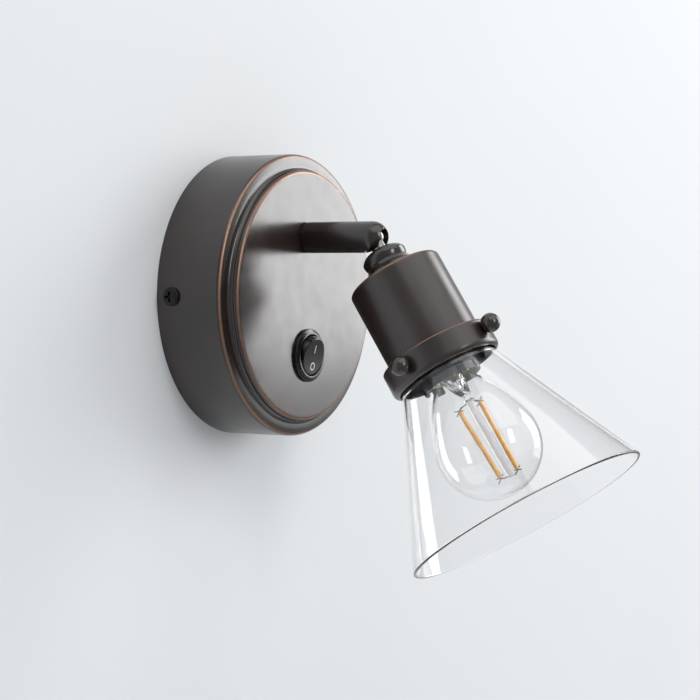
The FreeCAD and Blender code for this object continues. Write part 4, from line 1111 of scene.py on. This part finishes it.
# ---- Head ----------------------------------------------------------------------------------
@dataclass
class BallAndCollar:
    """The nickel ball and its neck, and the turned collar below them.

    The collar's points are (radius, distance from the ball's centre).
    """

    seat: Seat
    ball: float = 5.0
    neck: float = 3.3
    stud_end: float = 15.2
    lead_bore: float = 1.6
    top: tuple[float, float] = (5.6, 7.3)
    edge: float = 0.3
    bulge: tuple[tuple[float, float], tuple[float, float]] = ((8.7, 8.65), (10.2, 10.6))
    waist: tuple[tuple[float, float], tuple[float, float]] = ((10.05, 12.15), (9.5, 13.7))
    foot: tuple[tuple[float, float], tuple[float, float]] = ((10.4, 15.35), (12.4, 17.0))
    cup_top: float = 19.9
    stem: float = 4.9
    stem_end: float = 31.0
    stem_bore: float = 3.2

    def build(self) -> None:
        """Turns the ball with its neck, and the collar with its stem."""
        lean = math.degrees(math.acos(self.neck / self.ball))
        low = math.degrees(math.acos(self.lead_bore / self.ball))
        shape = Outline(self.lead_bore, -self.ball * math.sin(math.radians(low)))
        shape.arc(0, 0, self.ball, -low, lean, 24)
        shape.line(self.neck, self.stud_end).line(self.lead_bore, self.stud_end)
        self.seat.settle(turned("ball_and_neck", shape, 96), NICKEL, "swivel_ball")
        bore = self.neck + CLEARANCE
        shape = Outline(bore, self.top[1]).line(self.top[0] - self.edge, self.top[1])
        shape.arc(self.top[0] - self.edge, self.top[1] + self.edge, self.edge, 270, 330, 3)
        for middle, end in (self.bulge, self.waist, self.foot):
            shape.through(middle, end, 14)
        shape.line(self.foot[1][0], self.cup_top).line(self.stem, self.cup_top)
        shape.line(self.stem, self.stem_end).line(self.stem_bore, self.stem_end)
        shape.line(self.stem_bore, self.stud_end).line(bore, self.stud_end)
        self.seat.settle(turned("turned_collar", shape, 128), BRONZE_GLOSS, "swivel_collar")


@dataclass
class CupAndFitter:
    """The drum cup over the lampholder, and the fitter with its rolled lip."""

    seat: Seat
    stem: float = 4.95
    top: float = 19.9
    radius: float = 21.6
    sheet: float = 1.0
    top_round: float = 1.7
    top_worn: tuple[float, float] = (0.12, 0.85)
    fitter_top: float = 57.9
    fitter_height: float = 12.1
    fitter_radius: float = 25.6
    fitter_sheet: float = 1.2
    fitter_round: float = 1.0
    fitter_worn: tuple[float, float] = (0.1, 0.9)
    lip_round: float = 2.2
    lip_radius: float = 23.9
    holder: float = 13.65
    screw_hole: float = 1.55
    screw_height: float = 62.6

    def cup(self) -> None:
        """Turns the drum cup, its rounded top edge rubbed to copper."""
        edge = self.radius - self.top_round
        shape = Outline(self.stem, self.top).line(edge, self.top)
        shape.arc(edge, self.top + self.top_round, self.top_round, 270, 360, 24, self.top_worn)
        shape.line(self.radius, self.fitter_top).line(self.radius - self.sheet, self.fitter_top)
        shape.arc(edge, self.top + self.top_round, self.top_round - self.sheet, 360, 270, 5)
        shape.line(self.stem, self.top + self.sheet)
        self.seat.settle(turned("drum_cup", shape, 160), BRONZE_SATIN, "socket_cup")

    def fitter(self, ways: list[Vector]) -> None:
        """Turns the fitter and drills it for the thumbscrews.

        Args:
            ways: each thumbscrew's direction, square to the head's axis.
        """
        foot = self.fitter_top + self.fitter_height
        outer, lip = self.fitter_radius, self.lip_round
        shape = Outline(self.holder, self.fitter_top)
        shape.arc(outer - self.fitter_round, self.fitter_top + self.fitter_round,
                  self.fitter_round, 270, 360, 16, self.fitter_worn)
        shape.arc(outer - lip, foot - lip, lip, 0, 90, 14)
        shape.arc(outer - lip, foot - lip, lip - self.fitter_sheet, 90, 0, 8)
        shape.line(outer - self.fitter_sheet, self.fitter_top + self.fitter_sheet)
        shape.line(self.holder, self.fitter_top + self.fitter_sheet)
        ring = turned("rolled_fitter", shape, 192)
        level = Vector((0, 0, self.screw_height))
        for way in ways:
            start, end = way * self.lip_radius + level, way * (outer + 2) + level
            cut(ring, drill(start, end, self.screw_hole))
        self.seat.settle(ring, BRONZE_SATIN, "fitter_ring")

    def build(self, ways: list[Vector]) -> None:
        """Makes the cup and the fitter."""
        self.cup()
        self.fitter(ways)


@dataclass
class Thumbscrew:
    """A ball-headed thumbscrew, drawn along its own way out from the head's axis."""

    height: float = 62.6
    tip: float = 22.6
    seat_radius: float = 25.9
    shank: float = 1.5
    tip_chamfer: float = 0.3
    neck: float = 2.1
    ball: float = 4.3
    ball_place: float = 29.3

    def build(self, seat: Seat, number: int, way: Vector) -> None:
        """Turns the screw about its own axis and lays it along its way.

        Args:
            seat: the head's seat, on the thumbscrew's own body.
            number: the thumbscrew's number, from 1.
            way: its direction, square to the head's axis.
        """
        neck_turn = math.degrees(math.acos(self.neck / self.ball))
        shape = Outline(0, self.tip).line(self.shank - self.tip_chamfer, self.tip)
        shape.line(self.shank, self.tip + self.tip_chamfer)
        shape.line(self.shank, self.seat_radius).line(self.neck, self.seat_radius)
        shape.arc(0, self.ball_place, self.ball, -neck_turn, 90, 28)
        screw = turned(f"ball_thumbscrew_{number}", shape, 64)
        aim = way.to_track_quat("Z", "Y").to_matrix().to_4x4()
        screw.matrix_world = Matrix.Translation((0, 0, mm(self.height))) @ aim
        fix_place(screw)
        seat.settle(screw, BRONZE_GLOSS, f"thumbscrew_{number}")


@dataclass
class GlassShade:
    """The conical glass shade: a short neck, a soft bend and a fire-polished mouth."""

    seat: Seat
    neck: float = 22.4
    glass: float = 1.3
    top: float = 59.4
    neck_end: float = 67.8
    cone_start: tuple[float, float] = (23.1, 72.0)
    mouth: tuple[float, float] = (54.4, 140.4)
    polish: float = 0.35
    flamed: tuple[float, float] = (-0.2, 1.2)

    def build(self) -> None:
        """Turns the shade, both its walls and its rounded rim in one closed skin."""
        slope = Vector((self.mouth[0] - self.cone_start[0],
                        self.mouth[1] - self.cone_start[1])).normalized()
        inward = Vector((-slope.y, slope.x)) * self.glass
        inner = self.neck - self.glass
        bend = Vector(((2 * self.neck + self.cone_start[0]) / 3,
                       (self.neck_end + self.cone_start[1]) / 2))
        rim = Vector(self.mouth) + inward / 2
        rim_turn = math.degrees(math.atan2(-inward.y, -inward.x))
        polish = self.polish
        shape = Outline(inner + polish, self.top).line(self.neck - polish, self.top)
        shape.arc(self.neck - polish, self.top + polish, polish, 270, 360, 4)
        shape.line(self.neck, self.neck_end)
        shape.through(tuple(bend), self.cone_start, 8).line(*self.mouth)
        shape.arc(rim.x, rim.y, self.glass / 2, rim_turn, rim_turn + 180, 12, self.flamed)
        shape.line(*(Vector(self.cone_start) + inward))
        # The inner wall bends on a slightly smaller circle, so that the glass keeps its thickness.
        shape.through((bend.x + 0.97 * inward.x, bend.y + inward.y / 2), (inner, self.neck_end), 8)
        shape.line(inner, self.top + polish)
        shape.arc(inner + polish, self.top + polish, polish, 180, 270, 4)
        self.seat.settle(turned("cone_shade", shape, 256), SHADE_GLASS, "glass_shade")


@dataclass
class Lampholder:
    """The black lampholder's skirt with its shoulder, cut away round an inner sleeve."""

    seat: Seat
    radius: float = 13.6
    wall: float = 0.9
    top: float = 38.0
    mouth: float = 75.0
    shoulder: float = 15.4
    shoulder_top: float = 56.3
    shoulder_end: float = 57.9
    window_turn: float = 139.0
    window_half: float = 52.0
    window_depth: float = 3.6
    slots: tuple[float, ...] = (-88.0, -44.0, 0.0)
    slot_width: float = 5.0
    slot_depth: float = 3.0
    sleeve_wall: float = 0.7
    sleeve_short: float = 0.3
    sleeve_edge: float = 0.15
    sleeve_start: float = 4.0
    edge: float = 0.25

    def skirt(self) -> None:
        """Turns the skirt, saws a wide window in its near side and slots in the far one."""
        inner = self.radius - self.wall
        shape = Outline(self.radius, self.top).line(self.radius, self.shoulder_top)
        shape.line(self.shoulder, self.shoulder_top).line(self.shoulder, self.shoulder_end)
        shape.line(self.radius, self.shoulder_end)
        shape.arc(self.radius - self.edge, self.mouth - self.edge, self.edge, 0, 90, 4)
        shape.arc(inner + self.edge, self.mouth - self.edge, self.edge, 90, 180, 4)
        shape.line(inner, self.top)
        skirt = turned("holder_skirt", shape, 96)
        half = math.radians(self.window_half)
        chord = 2 * self.radius * math.sin(half)
        near = self.radius * math.cos(half)
        block = Vector((near, 0, self.mouth)) + Vector((self.radius / 2, 0, 0))
        window = Vector((self.radius, chord, 2 * self.window_depth))
        cut(skirt, brick(block, window, self.window_turn))
        self.saw(skirt)
        self.seat.settle(skirt, BAKELITE, "holder_body")

    def saw(self, piece: bpy.types.Object) -> None:
        """Saws the far side's slots in a piece.

        Args:
            piece: the skirt or the sleeve, upright at the origin.
        """
        place = Vector((self.radius, 0, self.mouth))
        size = Vector((self.radius, self.slot_width, 2 * self.slot_depth))
        for turn in self.slots:
            cut(piece, brick(place, size, self.window_turn + 180 + turn))

    def sleeve(self) -> None:
        """Turns the inner sleeve that shows in the skirt's window."""
        outer = self.radius - self.wall - CLEARANCE
        inner, edge = outer - self.sleeve_wall, self.sleeve_edge
        low, foot = self.shoulder_end + self.sleeve_start, self.mouth - self.sleeve_short
        shape = Outline(outer, low).line(outer, foot - edge).line(outer - edge, foot)
        shape.line(inner + edge, foot).line(inner, foot - edge).line(inner, low)
        sleeve = turned("holder_sleeve", shape, 96)
        self.saw(sleeve)
        self.seat.settle(sleeve, SLEEVE)

    def build(self) -> None:
        """Makes the lampholder's two visible walls."""
        self.skirt()
        self.sleeve()


@dataclass
class Bulb:
    """The globe bulb: cap, cement, thin glass, inner stem, pillar, filaments and fine wires."""

    seat: Seat
    cap: float = 6.95
    cap_sheet: float = 0.4
    cap_start: float = 57.6
    cap_end: float = 70.6
    thread_pitch: float = 2.6
    thread_depth: float = 0.55
    thread_steps: int = 8
    neck_start: float = 66.5
    glass: float = 0.8
    bend: tuple[float, float] = (9.0, 74.6)
    flare: tuple[float, float] = (12.9, 79.6)
    swell: tuple[float, float] = (18.5, 89.9)
    globe: float = 23.3
    globe_centre: float = 107.3
    meets_neck: float = 75.0
    pinch: float = 83.0
    pinch_radius: float = 2.2
    pinch_flat: float = 0.34
    pinch_twist: float = 0.7
    pinch_rings: int = 8
    stem_shoulder: float = 72.4
    stem_wall: float = 0.7
    ribs: int = 5
    rib_height: float = 0.05
    cement_radius: float = 9.9
    cement_end: float = 74.2
    cement_gap: float = 0.04
    cement_lumps: tuple[tuple[float, int, float], ...] = (
        (0.012, 5, 0), (0.01, 11, 1), (0.008, 23, 0))
    pillar: tuple[float, float] = (86.0, 123.0)
    pillar_radius: float = 1.9
    pillar_edge: float = 0.5
    filament: tuple[float, float] = (88.0, 121.6)
    filament_radius: float = 1.1
    filament_rings: int = 48
    filament_starts: tuple[float, float] = (-5.9, 3.95)
    filament_ends: tuple[float, float] = (-4.7, 3.45)
    filament_turn: float = 58.0
    lean: tuple[float, float] = (2.2, 2.7)
    fine_wire: float = 0.22
    hook: float = 2.1
    hook_slopes: tuple[float, float] = (0.35, -0.8)
    tie_rise: float = 0.6
    tie_sag: float = 0.7

    def threaded_cap(self) -> None:
        """Rolls the cap's round thread as ridges, open at both ends."""
        outer, inner = self.cap, self.cap - self.cap_sheet
        shape = Outline(inner, self.cap_start)
        ridges = int((self.cap_end - self.cap_start - 2) / self.thread_pitch)
        steps = self.thread_steps
        shape.line(outer - self.thread_depth, self.cap_start)
        for i in range(ridges * steps + 1):
            lift = (1 - math.cos(math.tau * i / steps)) / 2
            shape.add(outer - self.thread_depth * (1 - lift),
                      self.cap_start + 1 + self.thread_pitch * i / steps)
        shape.line(outer, self.cap_end - 0.6).line(outer, self.cap_end).line(inner, self.cap_end)
        self.seat.settle(turned("screw_cap", shape, 64), NICKEL, "bulb_cap")

    def cement(self) -> None:
        """Turns the bead of cement squeezed out between the cap's edge and the neck's flare."""
        skin = [point for point in self.skin(-self.cement_gap).points
                if self.cap_end <= point[1] <= self.cement_end]
        bead = Outline(*skin[0])
        for radius, height in skin[1:]:
            bead.add(radius, height)
        outer = max(self.cement_radius, skin[-1][0] + 0.3)
        bead.through((outer - 0.4, self.cap_end + 1.6),
                     (self.cap + 0.2, self.cap_end + CLEARANCE), 8)
        piece = turned("cap_cement", bead, 96)
        for vertex in piece.data.vertices:
            turn = math.atan2(vertex.co.y, vertex.co.x)
            lumps = 1 + sum(size * math.sin(number * turn + start)
                            for size, number, start in self.cement_lumps)
            if math.hypot(vertex.co.x, vertex.co.y) > mm(self.cap + 0.3):
                vertex.co.x, vertex.co.y = vertex.co.x * lumps, vertex.co.y * lumps
        self.seat.settle(piece, CEMENT)

    def skin(self, inset: float) -> Outline:
        """The globe's outline, from its neck's edge to its crown.

        Args:
            inset: how far the outline is drawn in from the outer wall.

        Returns:
            The outline, open at its neck and its crown.
        """
        def drawn_in(point: tuple[float, float]) -> tuple[float, float]:
            """A point of the taper, drawn in square to it."""
            return point[0] - 0.87 * inset, point[1] + 0.5 * inset

        meet = math.radians(self.meets_neck)
        reach = self.globe - inset
        neck = self.cap - self.cap_sheet - CLEARANCE - inset
        shape = Outline(neck, self.neck_start).line(neck, self.cap_end)
        shape.through(drawn_in(self.bend), drawn_in(self.flare), 10)
        meeting = reach * math.sin(meet), self.globe_centre - reach * math.cos(meet)
        shape.through(drawn_in(self.swell), meeting, 12)
        return shape.arc(0, self.globe_centre, reach, self.meets_neck - 90, 90, 36)

    def envelope(self) -> None:
        """Turns the globe's outer and inner walls as one closed skin."""
        shape, inside = self.skin(0), self.skin(self.glass)
        for radius, height in reversed(inside.points):
            shape.add(max(radius, 0), height)
        self.seat.settle(turned("globe_glass", shape, 128), BULB_GLASS, "bulb_glass")

    def stem(self) -> None:
        """Turns the inner stem, its flare drawn down to a squashed and twisted pinch."""
        flare = self.cap - self.cap_sheet - 2 * CLEARANCE - self.glass
        shoulder, half_way = self.stem_shoulder, (self.stem_shoulder + self.pinch) / 2
        inside = flare - self.stem_wall
        shape = Outline(flare, self.neck_start).line(flare, shoulder)
        shape.through((self.pinch_radius + 1.3, half_way + 1), (self.pinch_radius, self.pinch), 16)
        for i in range(1, self.pinch_rings + 1):
            rise = (self.pillar[0] - self.pinch) * i / self.pinch_rings
            shape.add(self.pinch_radius, self.pinch + rise)
        shape.line(0, self.pillar[0]).line(0, self.pinch - 2)
        shape.through((self.pinch_radius + 0.2, half_way), (inside, shoulder), 10)
        shape.line(inside, self.neck_start)
        piece = turned("inner_stem", shape, 96)
        for vertex in piece.data.vertices:
            self.squash(vertex)
        self.seat.settle(self.lean_over(piece), BULB_GLASS, "bulb_stem")

    def rod(self) -> None:
        """Turns the glass pillar that carries the filaments, with its end rounded."""
        low, high = self.pillar
        edge = self.pillar_edge
        shape = Outline(0, low).line(self.pillar_radius, low)
        shape.arc(self.pillar_radius - edge, high - edge, edge, 0, 90, 5).line(0, high)
        rod = self.lean_over(turned("glass_pillar", shape, 48))
        self.seat.settle(rod, PILLAR_GLASS, "bulb_pillar")

    def squash(self, vertex: bpy.types.MeshVertex) -> None:
        """Ribs a point of the stem's cone, and flattens and twists it towards the pinch.

        Args:
            vertex: a vertex of the stem, upright at the origin.
        """
        height = vertex.co.z * 1000
        low = self.stem_shoulder
        share = min(1.0, max(0.0, (height - low) / (self.pinch - low)))
        turn = math.atan2(vertex.co.y, vertex.co.x)
        ribbed = self.rib_height * math.sin(math.pi * share) * math.cos(self.ribs * 2 * turn)
        twist = 2 * turn + self.pinch_twist * (height - self.pinch)
        factor = 1 + ribbed + self.pinch_flat * share ** 3 * math.cos(twist)
        vertex.co.x, vertex.co.y = vertex.co.x * factor, vertex.co.y * factor

    def lean_over(self, piece: bpy.types.Object) -> bpy.types.Object:
        """Leans a piece of the inner work over along the filaments' line, as the real one stands.

        Args:
            piece: a piece of it, upright at the origin.

        Returns:
            The same piece.
        """
        turn = math.radians(self.filament_turn)
        way = Vector((math.cos(turn), math.sin(turn), 0))
        low, high = self.stem_shoulder, self.filament[1]
        for vertex in piece.data.vertices:
            height = vertex.co.z * 1000
            share = min(1.0, max(0.0, (height - low) / (self.pinch - low)))
            rest = max(0.0, (height - self.pinch) / (high - self.pinch))
            vertex.co += way * mm(self.lean[0] * share + (self.lean[1] - self.lean[0]) * rest)
        return piece

    def place(self, reach: float, height: float) -> Vector:
        """A point so far from the axis along the filaments' line."""
        turn = math.radians(self.filament_turn)
        return Vector((reach * math.cos(turn), reach * math.sin(turn), height))

    def filaments(self) -> None:
        """Turns each filament with the uneven swell of its dabbed silicone, and sets it aslant."""
        pair = []
        low, high = self.filament
        for side, start, end in zip(Side, self.filament_starts, self.filament_ends):
            shape = Outline(0, low)
            for i in range(self.filament_rings + 1):
                share = i / self.filament_rings
                ends = min(1.0, 0.35 + 24 * min(share, 1 - share)) ** 0.5
                swell = (0.93 + 0.05 * math.sin(9 * share + side.value)
                         + 0.03 * math.sin(23 * share + 2 * side.value))
                shape.add(self.filament_radius * ends * swell, low + (high - low) * share)
            strip = turned(f"filament_{side.name}", shape.line(0, high), 24)
            for vertex in strip.data.vertices:
                share = (vertex.co.z * 1000 - low) / (high - low)
                vertex.co += self.place(start + (end - start) * share, 0) / 1000
            pair.append(strip)
        self.seat.settle(self.lean_over(join("filament_pair", pair)), FILAMENT, "filaments")

    def fine_wires(self) -> None:
        """Draws the fine wires: ties and crossed hooks at the filaments' ends, and the lead-ins."""
        runs = []
        for end, pole, way, feet in ((self.filament[0], self.pillar[0], 1, self.filament_starts),
                                     (self.filament[1], self.pillar[1], -1, self.filament_ends)):
            root = pole + self.tie_rise * way
            for foot in feet:
                side = math.copysign(1, foot)
                tip = end - 0.2 * way
                runs.append([self.place(side * (self.pillar_radius - 0.1), root),
                             self.place(foot / 2 + side, (root + end) / 2 - self.tie_sag * way),
                             self.place(foot, tip)])
                for slope in self.hook_slopes:
                    runs.append([self.place(foot - self.hook, tip - slope * self.hook),
                                 self.place(foot + 0.8 * self.hook, tip + 0.8 * slope * self.hook)])
        for side in Side:
            runs.append([self.place(side.value, self.neck_start + 1),
                         self.place(0.9 * side.value, self.pinch - 4),
                         self.place(1.4 * side.value, self.pillar[0] - 0.4),
                         self.place(side.value * (self.pillar_radius + 0.2),
                                    self.pillar[0] + self.tie_rise)])
        wires = self.lean_over(wire("fine_wires", runs, self.fine_wire))
        self.seat.settle(wires, FINE_WIRE, "filament_wires")

    def build(self) -> None:
        """Makes the bulb from its cap to its crown."""
        self.threaded_cap()
        self.cement()
        self.envelope()
        self.stem()
        self.rod()
        self.filaments()
        self.fine_wires()


# ---- Studio --------------------------------------------------------------------------------
@dataclass(frozen=True)
class SoftLamp:
    """A soft lamp, by the way it is seen from the object.

    Its bearing, rise, width and height are in degrees and its distance is in metres. A white
    surface that faced a whole sky of brightness 1 would show as white.
    """

    name: str
    bearing: float
    rise: float
    wide: float
    tall: float
    distance: float
    brightness: float


@dataclass
class Studio:
    """The pale wall and floor, the soft lamps and the camera."""

    camera_place: tuple[float, float, float] = (-0.76256, -0.51741, 0.01312)
    camera_back: tuple[float, float, float] = (-0.85648197, -0.51447719, 0.0418552)
    focal_px: float = 2000.0
    picture_px: float = 700.0
    sensor: float = 36.0
    paint: str = "#eef0f0"
    paint_cloud: str = "#ebedee"
    wall_size: float = 1.8
    floor_drop: float = 1.2
    middle: tuple[float, float, float] = (0, -0.04, 0)
    room_light: float = 0.45
    room_tint: str = "#f4f6fb"
    room_shine: float = 0.38
    shine_tint: str = "#f4f4f6"
    backdrop: str = "#ecedef"
    lamps: tuple[SoftLamp, ...] = (
        SoftLamp("window", 61.5, 15.7, 26, 39.0, 2.4, 5.5),
        SoftLamp("sill", 62.0, -8.8, 34, 9, 2.4, 0.8),
        SoftLamp("softbox", -9.3, 21.7, 11, 25, 1.5, 6.0),
        SoftLamp("ceiling", -15, 62, 70, 45, 1.2, 1.15),
    )

    def camera(self) -> None:
        """Sets up the camera at the photograph's viewing angle."""
        data = bpy.data.cameras.new("camera")
        data.sensor_width = self.sensor
        data.lens = self.focal_px * self.sensor / self.picture_px
        data.clip_start = 0.01
        camera = bpy.data.objects.new("camera", data)
        camera.location = self.camera_place
        back = Vector(self.camera_back)
        camera.rotation_euler = (-back).to_track_quat("-Z", "Y").to_euler()
        bpy.context.scene.collection.objects.link(camera)
        bpy.context.scene.camera = camera

    def paint_material(self) -> bpy.types.Material:
        """Matt wall paint that is clear from behind, so that the lamp's back can be seen.

        Returns:
            The paint, for the wall and the floor.
        """
        surface = Surface("matt_wall_paint")
        tone = surface.between(surface.noise(400.0), 0, 1)
        surface.set(Base_Color=surface.blend(tone, linear(self.paint), linear(self.paint_cloud)),
                    Roughness=0.9, Specular_IOR_Level=0.2)
        behind = surface.add("ShaderNodeNewGeometry").outputs["Backfacing"]
        surface.instead(behind, surface.add("ShaderNodeBsdfTransparent"))
        return surface.material

    def room(self) -> None:
        """Puts up the wall behind the lamp and the floor far below it."""
        material = self.paint_material()
        for name, place, turn in (("wall", (0, 0, 0), (math.radians(90), 0, 0)),
                                  ("floor", (0, 0, -self.floor_drop), (0, 0, 0))):
            deselect()
            bpy.ops.mesh.primitive_plane_add(size=self.wall_size, location=place, rotation=turn)
            sheet = named(bpy.context.object, name)
            sheet.data.materials.append(material)

    def hang(self, lamp: SoftLamp) -> None:
        """Hangs one soft lamp, facing the middle of the object.

        Args:
            lamp: the lamp's place, size and brightness.
        """
        data = bpy.data.lights.new(lamp.name, "AREA")
        data.shape = "RECTANGLE"
        data.size = 2 * lamp.distance * math.tan(math.radians(lamp.wide / 2))
        data.size_y = 2 * lamp.distance * math.tan(math.radians(lamp.tall / 2))
        data.energy = lamp.brightness * math.pi * data.size * data.size_y
        bearing, rise = math.radians(lamp.bearing), math.radians(lamp.rise)
        way = Vector((math.sin(bearing) * math.cos(rise), -math.cos(bearing) * math.cos(rise),
                      math.sin(rise)))
        thing = bpy.data.objects.new(lamp.name, data)
        thing.location = Vector(self.middle) + way * lamp.distance
        thing.rotation_euler = (-way).to_track_quat("-Z", "Y").to_euler()
        thing.visible_camera = False
        bpy.context.scene.collection.objects.link(thing)

    def sky(self) -> None:
        """Fills the room with even light, and shows the camera a pale backdrop."""
        world = bpy.data.worlds.new("room_light")
        world.use_nodes = True
        bpy.context.scene.world = world
        tree = world.node_tree
        path = add_node(tree, "ShaderNodeLightPath")
        light = tree.nodes["Background"]
        light.inputs["Color"].default_value = linear(self.room_tint)
        light.inputs["Strength"].default_value = self.room_light
        backdrop = add_node(tree, "ShaderNodeBackground", {"Color": linear(self.backdrop),
                                                           "Strength": 1.0})
        shine = add_node(tree, "ShaderNodeBackground", {"Color": linear(self.shine_tint),
                                                        "Strength": self.room_shine})
        mirrored = add_node(tree, "ShaderNodeMath", {0: path.outputs["Is Glossy Ray"],
                                                     1: path.outputs["Is Transmission Ray"]},
                            operation="MAXIMUM")
        seen = add_node(tree, "ShaderNodeMixShader", {
            0: mirrored.outputs[0], 1: light.outputs[0], 2: shine.outputs[0]})
        either = add_node(tree, "ShaderNodeMixShader", {
            0: path.outputs["Is Camera Ray"], 1: seen.outputs[0], 2: backdrop.outputs[0]})
        tree.links.new(either.outputs[0], tree.nodes["World Output"].inputs["Surface"])

    def build(self) -> None:
        """Sets the whole studio."""
        self.camera()
        self.room()
        self.sky()
        for lamp in self.lamps:
            self.hang(lamp)


# ---- The lamp ------------------------------------------------------------------------------
def joint_named(frame: dict, name: str) -> dict:
    """One joint of the frame, by its name."""
    return next(joint for joint in frame["joints"] if joint["name"] == name)


def thumbscrew_way(frame: dict, number: int, tilt: float) -> Vector:
    """A thumbscrew's way out from the head's axis, in the head's own frame before its tilt."""
    axis = Vector(joint_named(frame, f"thumbscrew_{number}_travel")["axis"])
    return Matrix.Rotation(math.radians(-tilt), 3, "X") @ axis


def main() -> None:
    """Dresses the lamp around its frame, one sub-assembly after another."""
    logging.basicConfig(level=logging.INFO, format="%(message)s", stream=sys.stdout)
    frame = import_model()
    bpy.context.scene.view_settings.view_transform = "Standard"

    tilt = joint_named(frame, "head_tilt")
    swivel = joint_named(frame, "arm_swivel")
    press = joint_named(frame, "rocker_tilt")
    ball = Vector(tilt["pos_m"]) * 1000
    arm_height = swivel["pos_m"][2] * 1000
    pivot = Vector(press["pos_m"]) * 1000
    wall = Seat("canopy_body", UPRIGHT_TO_WALL, Vector((0, 0, 0)))
    switch = Seat("canopy_body", UPRIGHT_TO_WALL, Vector((0, 0, pivot.z)))
    arm = Seat("arm_body", UPRIGHT_TO_WALL, Vector((0, 0, arm_height)))
    head_tilt = UPRIGHT_TO_WALL - tilt["range_deg"][0]
    head = Seat("head_body", head_tilt, ball)
    ways = [thumbscrew_way(frame, number, head_tilt) for number in (1, 2, 3)]

    for finish, nodes in PLAIN_NODES.items():
        for node in nodes:
            finish.dress(frame["nodes"][node])
            LOG.info("%s: %s", node, finish.name)

    Canopy(wall, arm_height, -pivot.z).build()
    SideScrews(wall).build()
    RockerSwitch(switch, "rocker_body", pivot).build()
    Arm(arm, -ball.y).build()
    BallAndCollar(head).build()
    CupAndFitter(head).build(ways)
    for number, way in enumerate(ways, 1):
        Thumbscrew().build(Seat(f"thumbscrew_{number}_body", head_tilt, ball), number, way)
    GlassShade(head).build()
    Lampholder(head).build()
    Bulb(head).build()
    Studio().build()


if __name__ == "__main__":
    main()
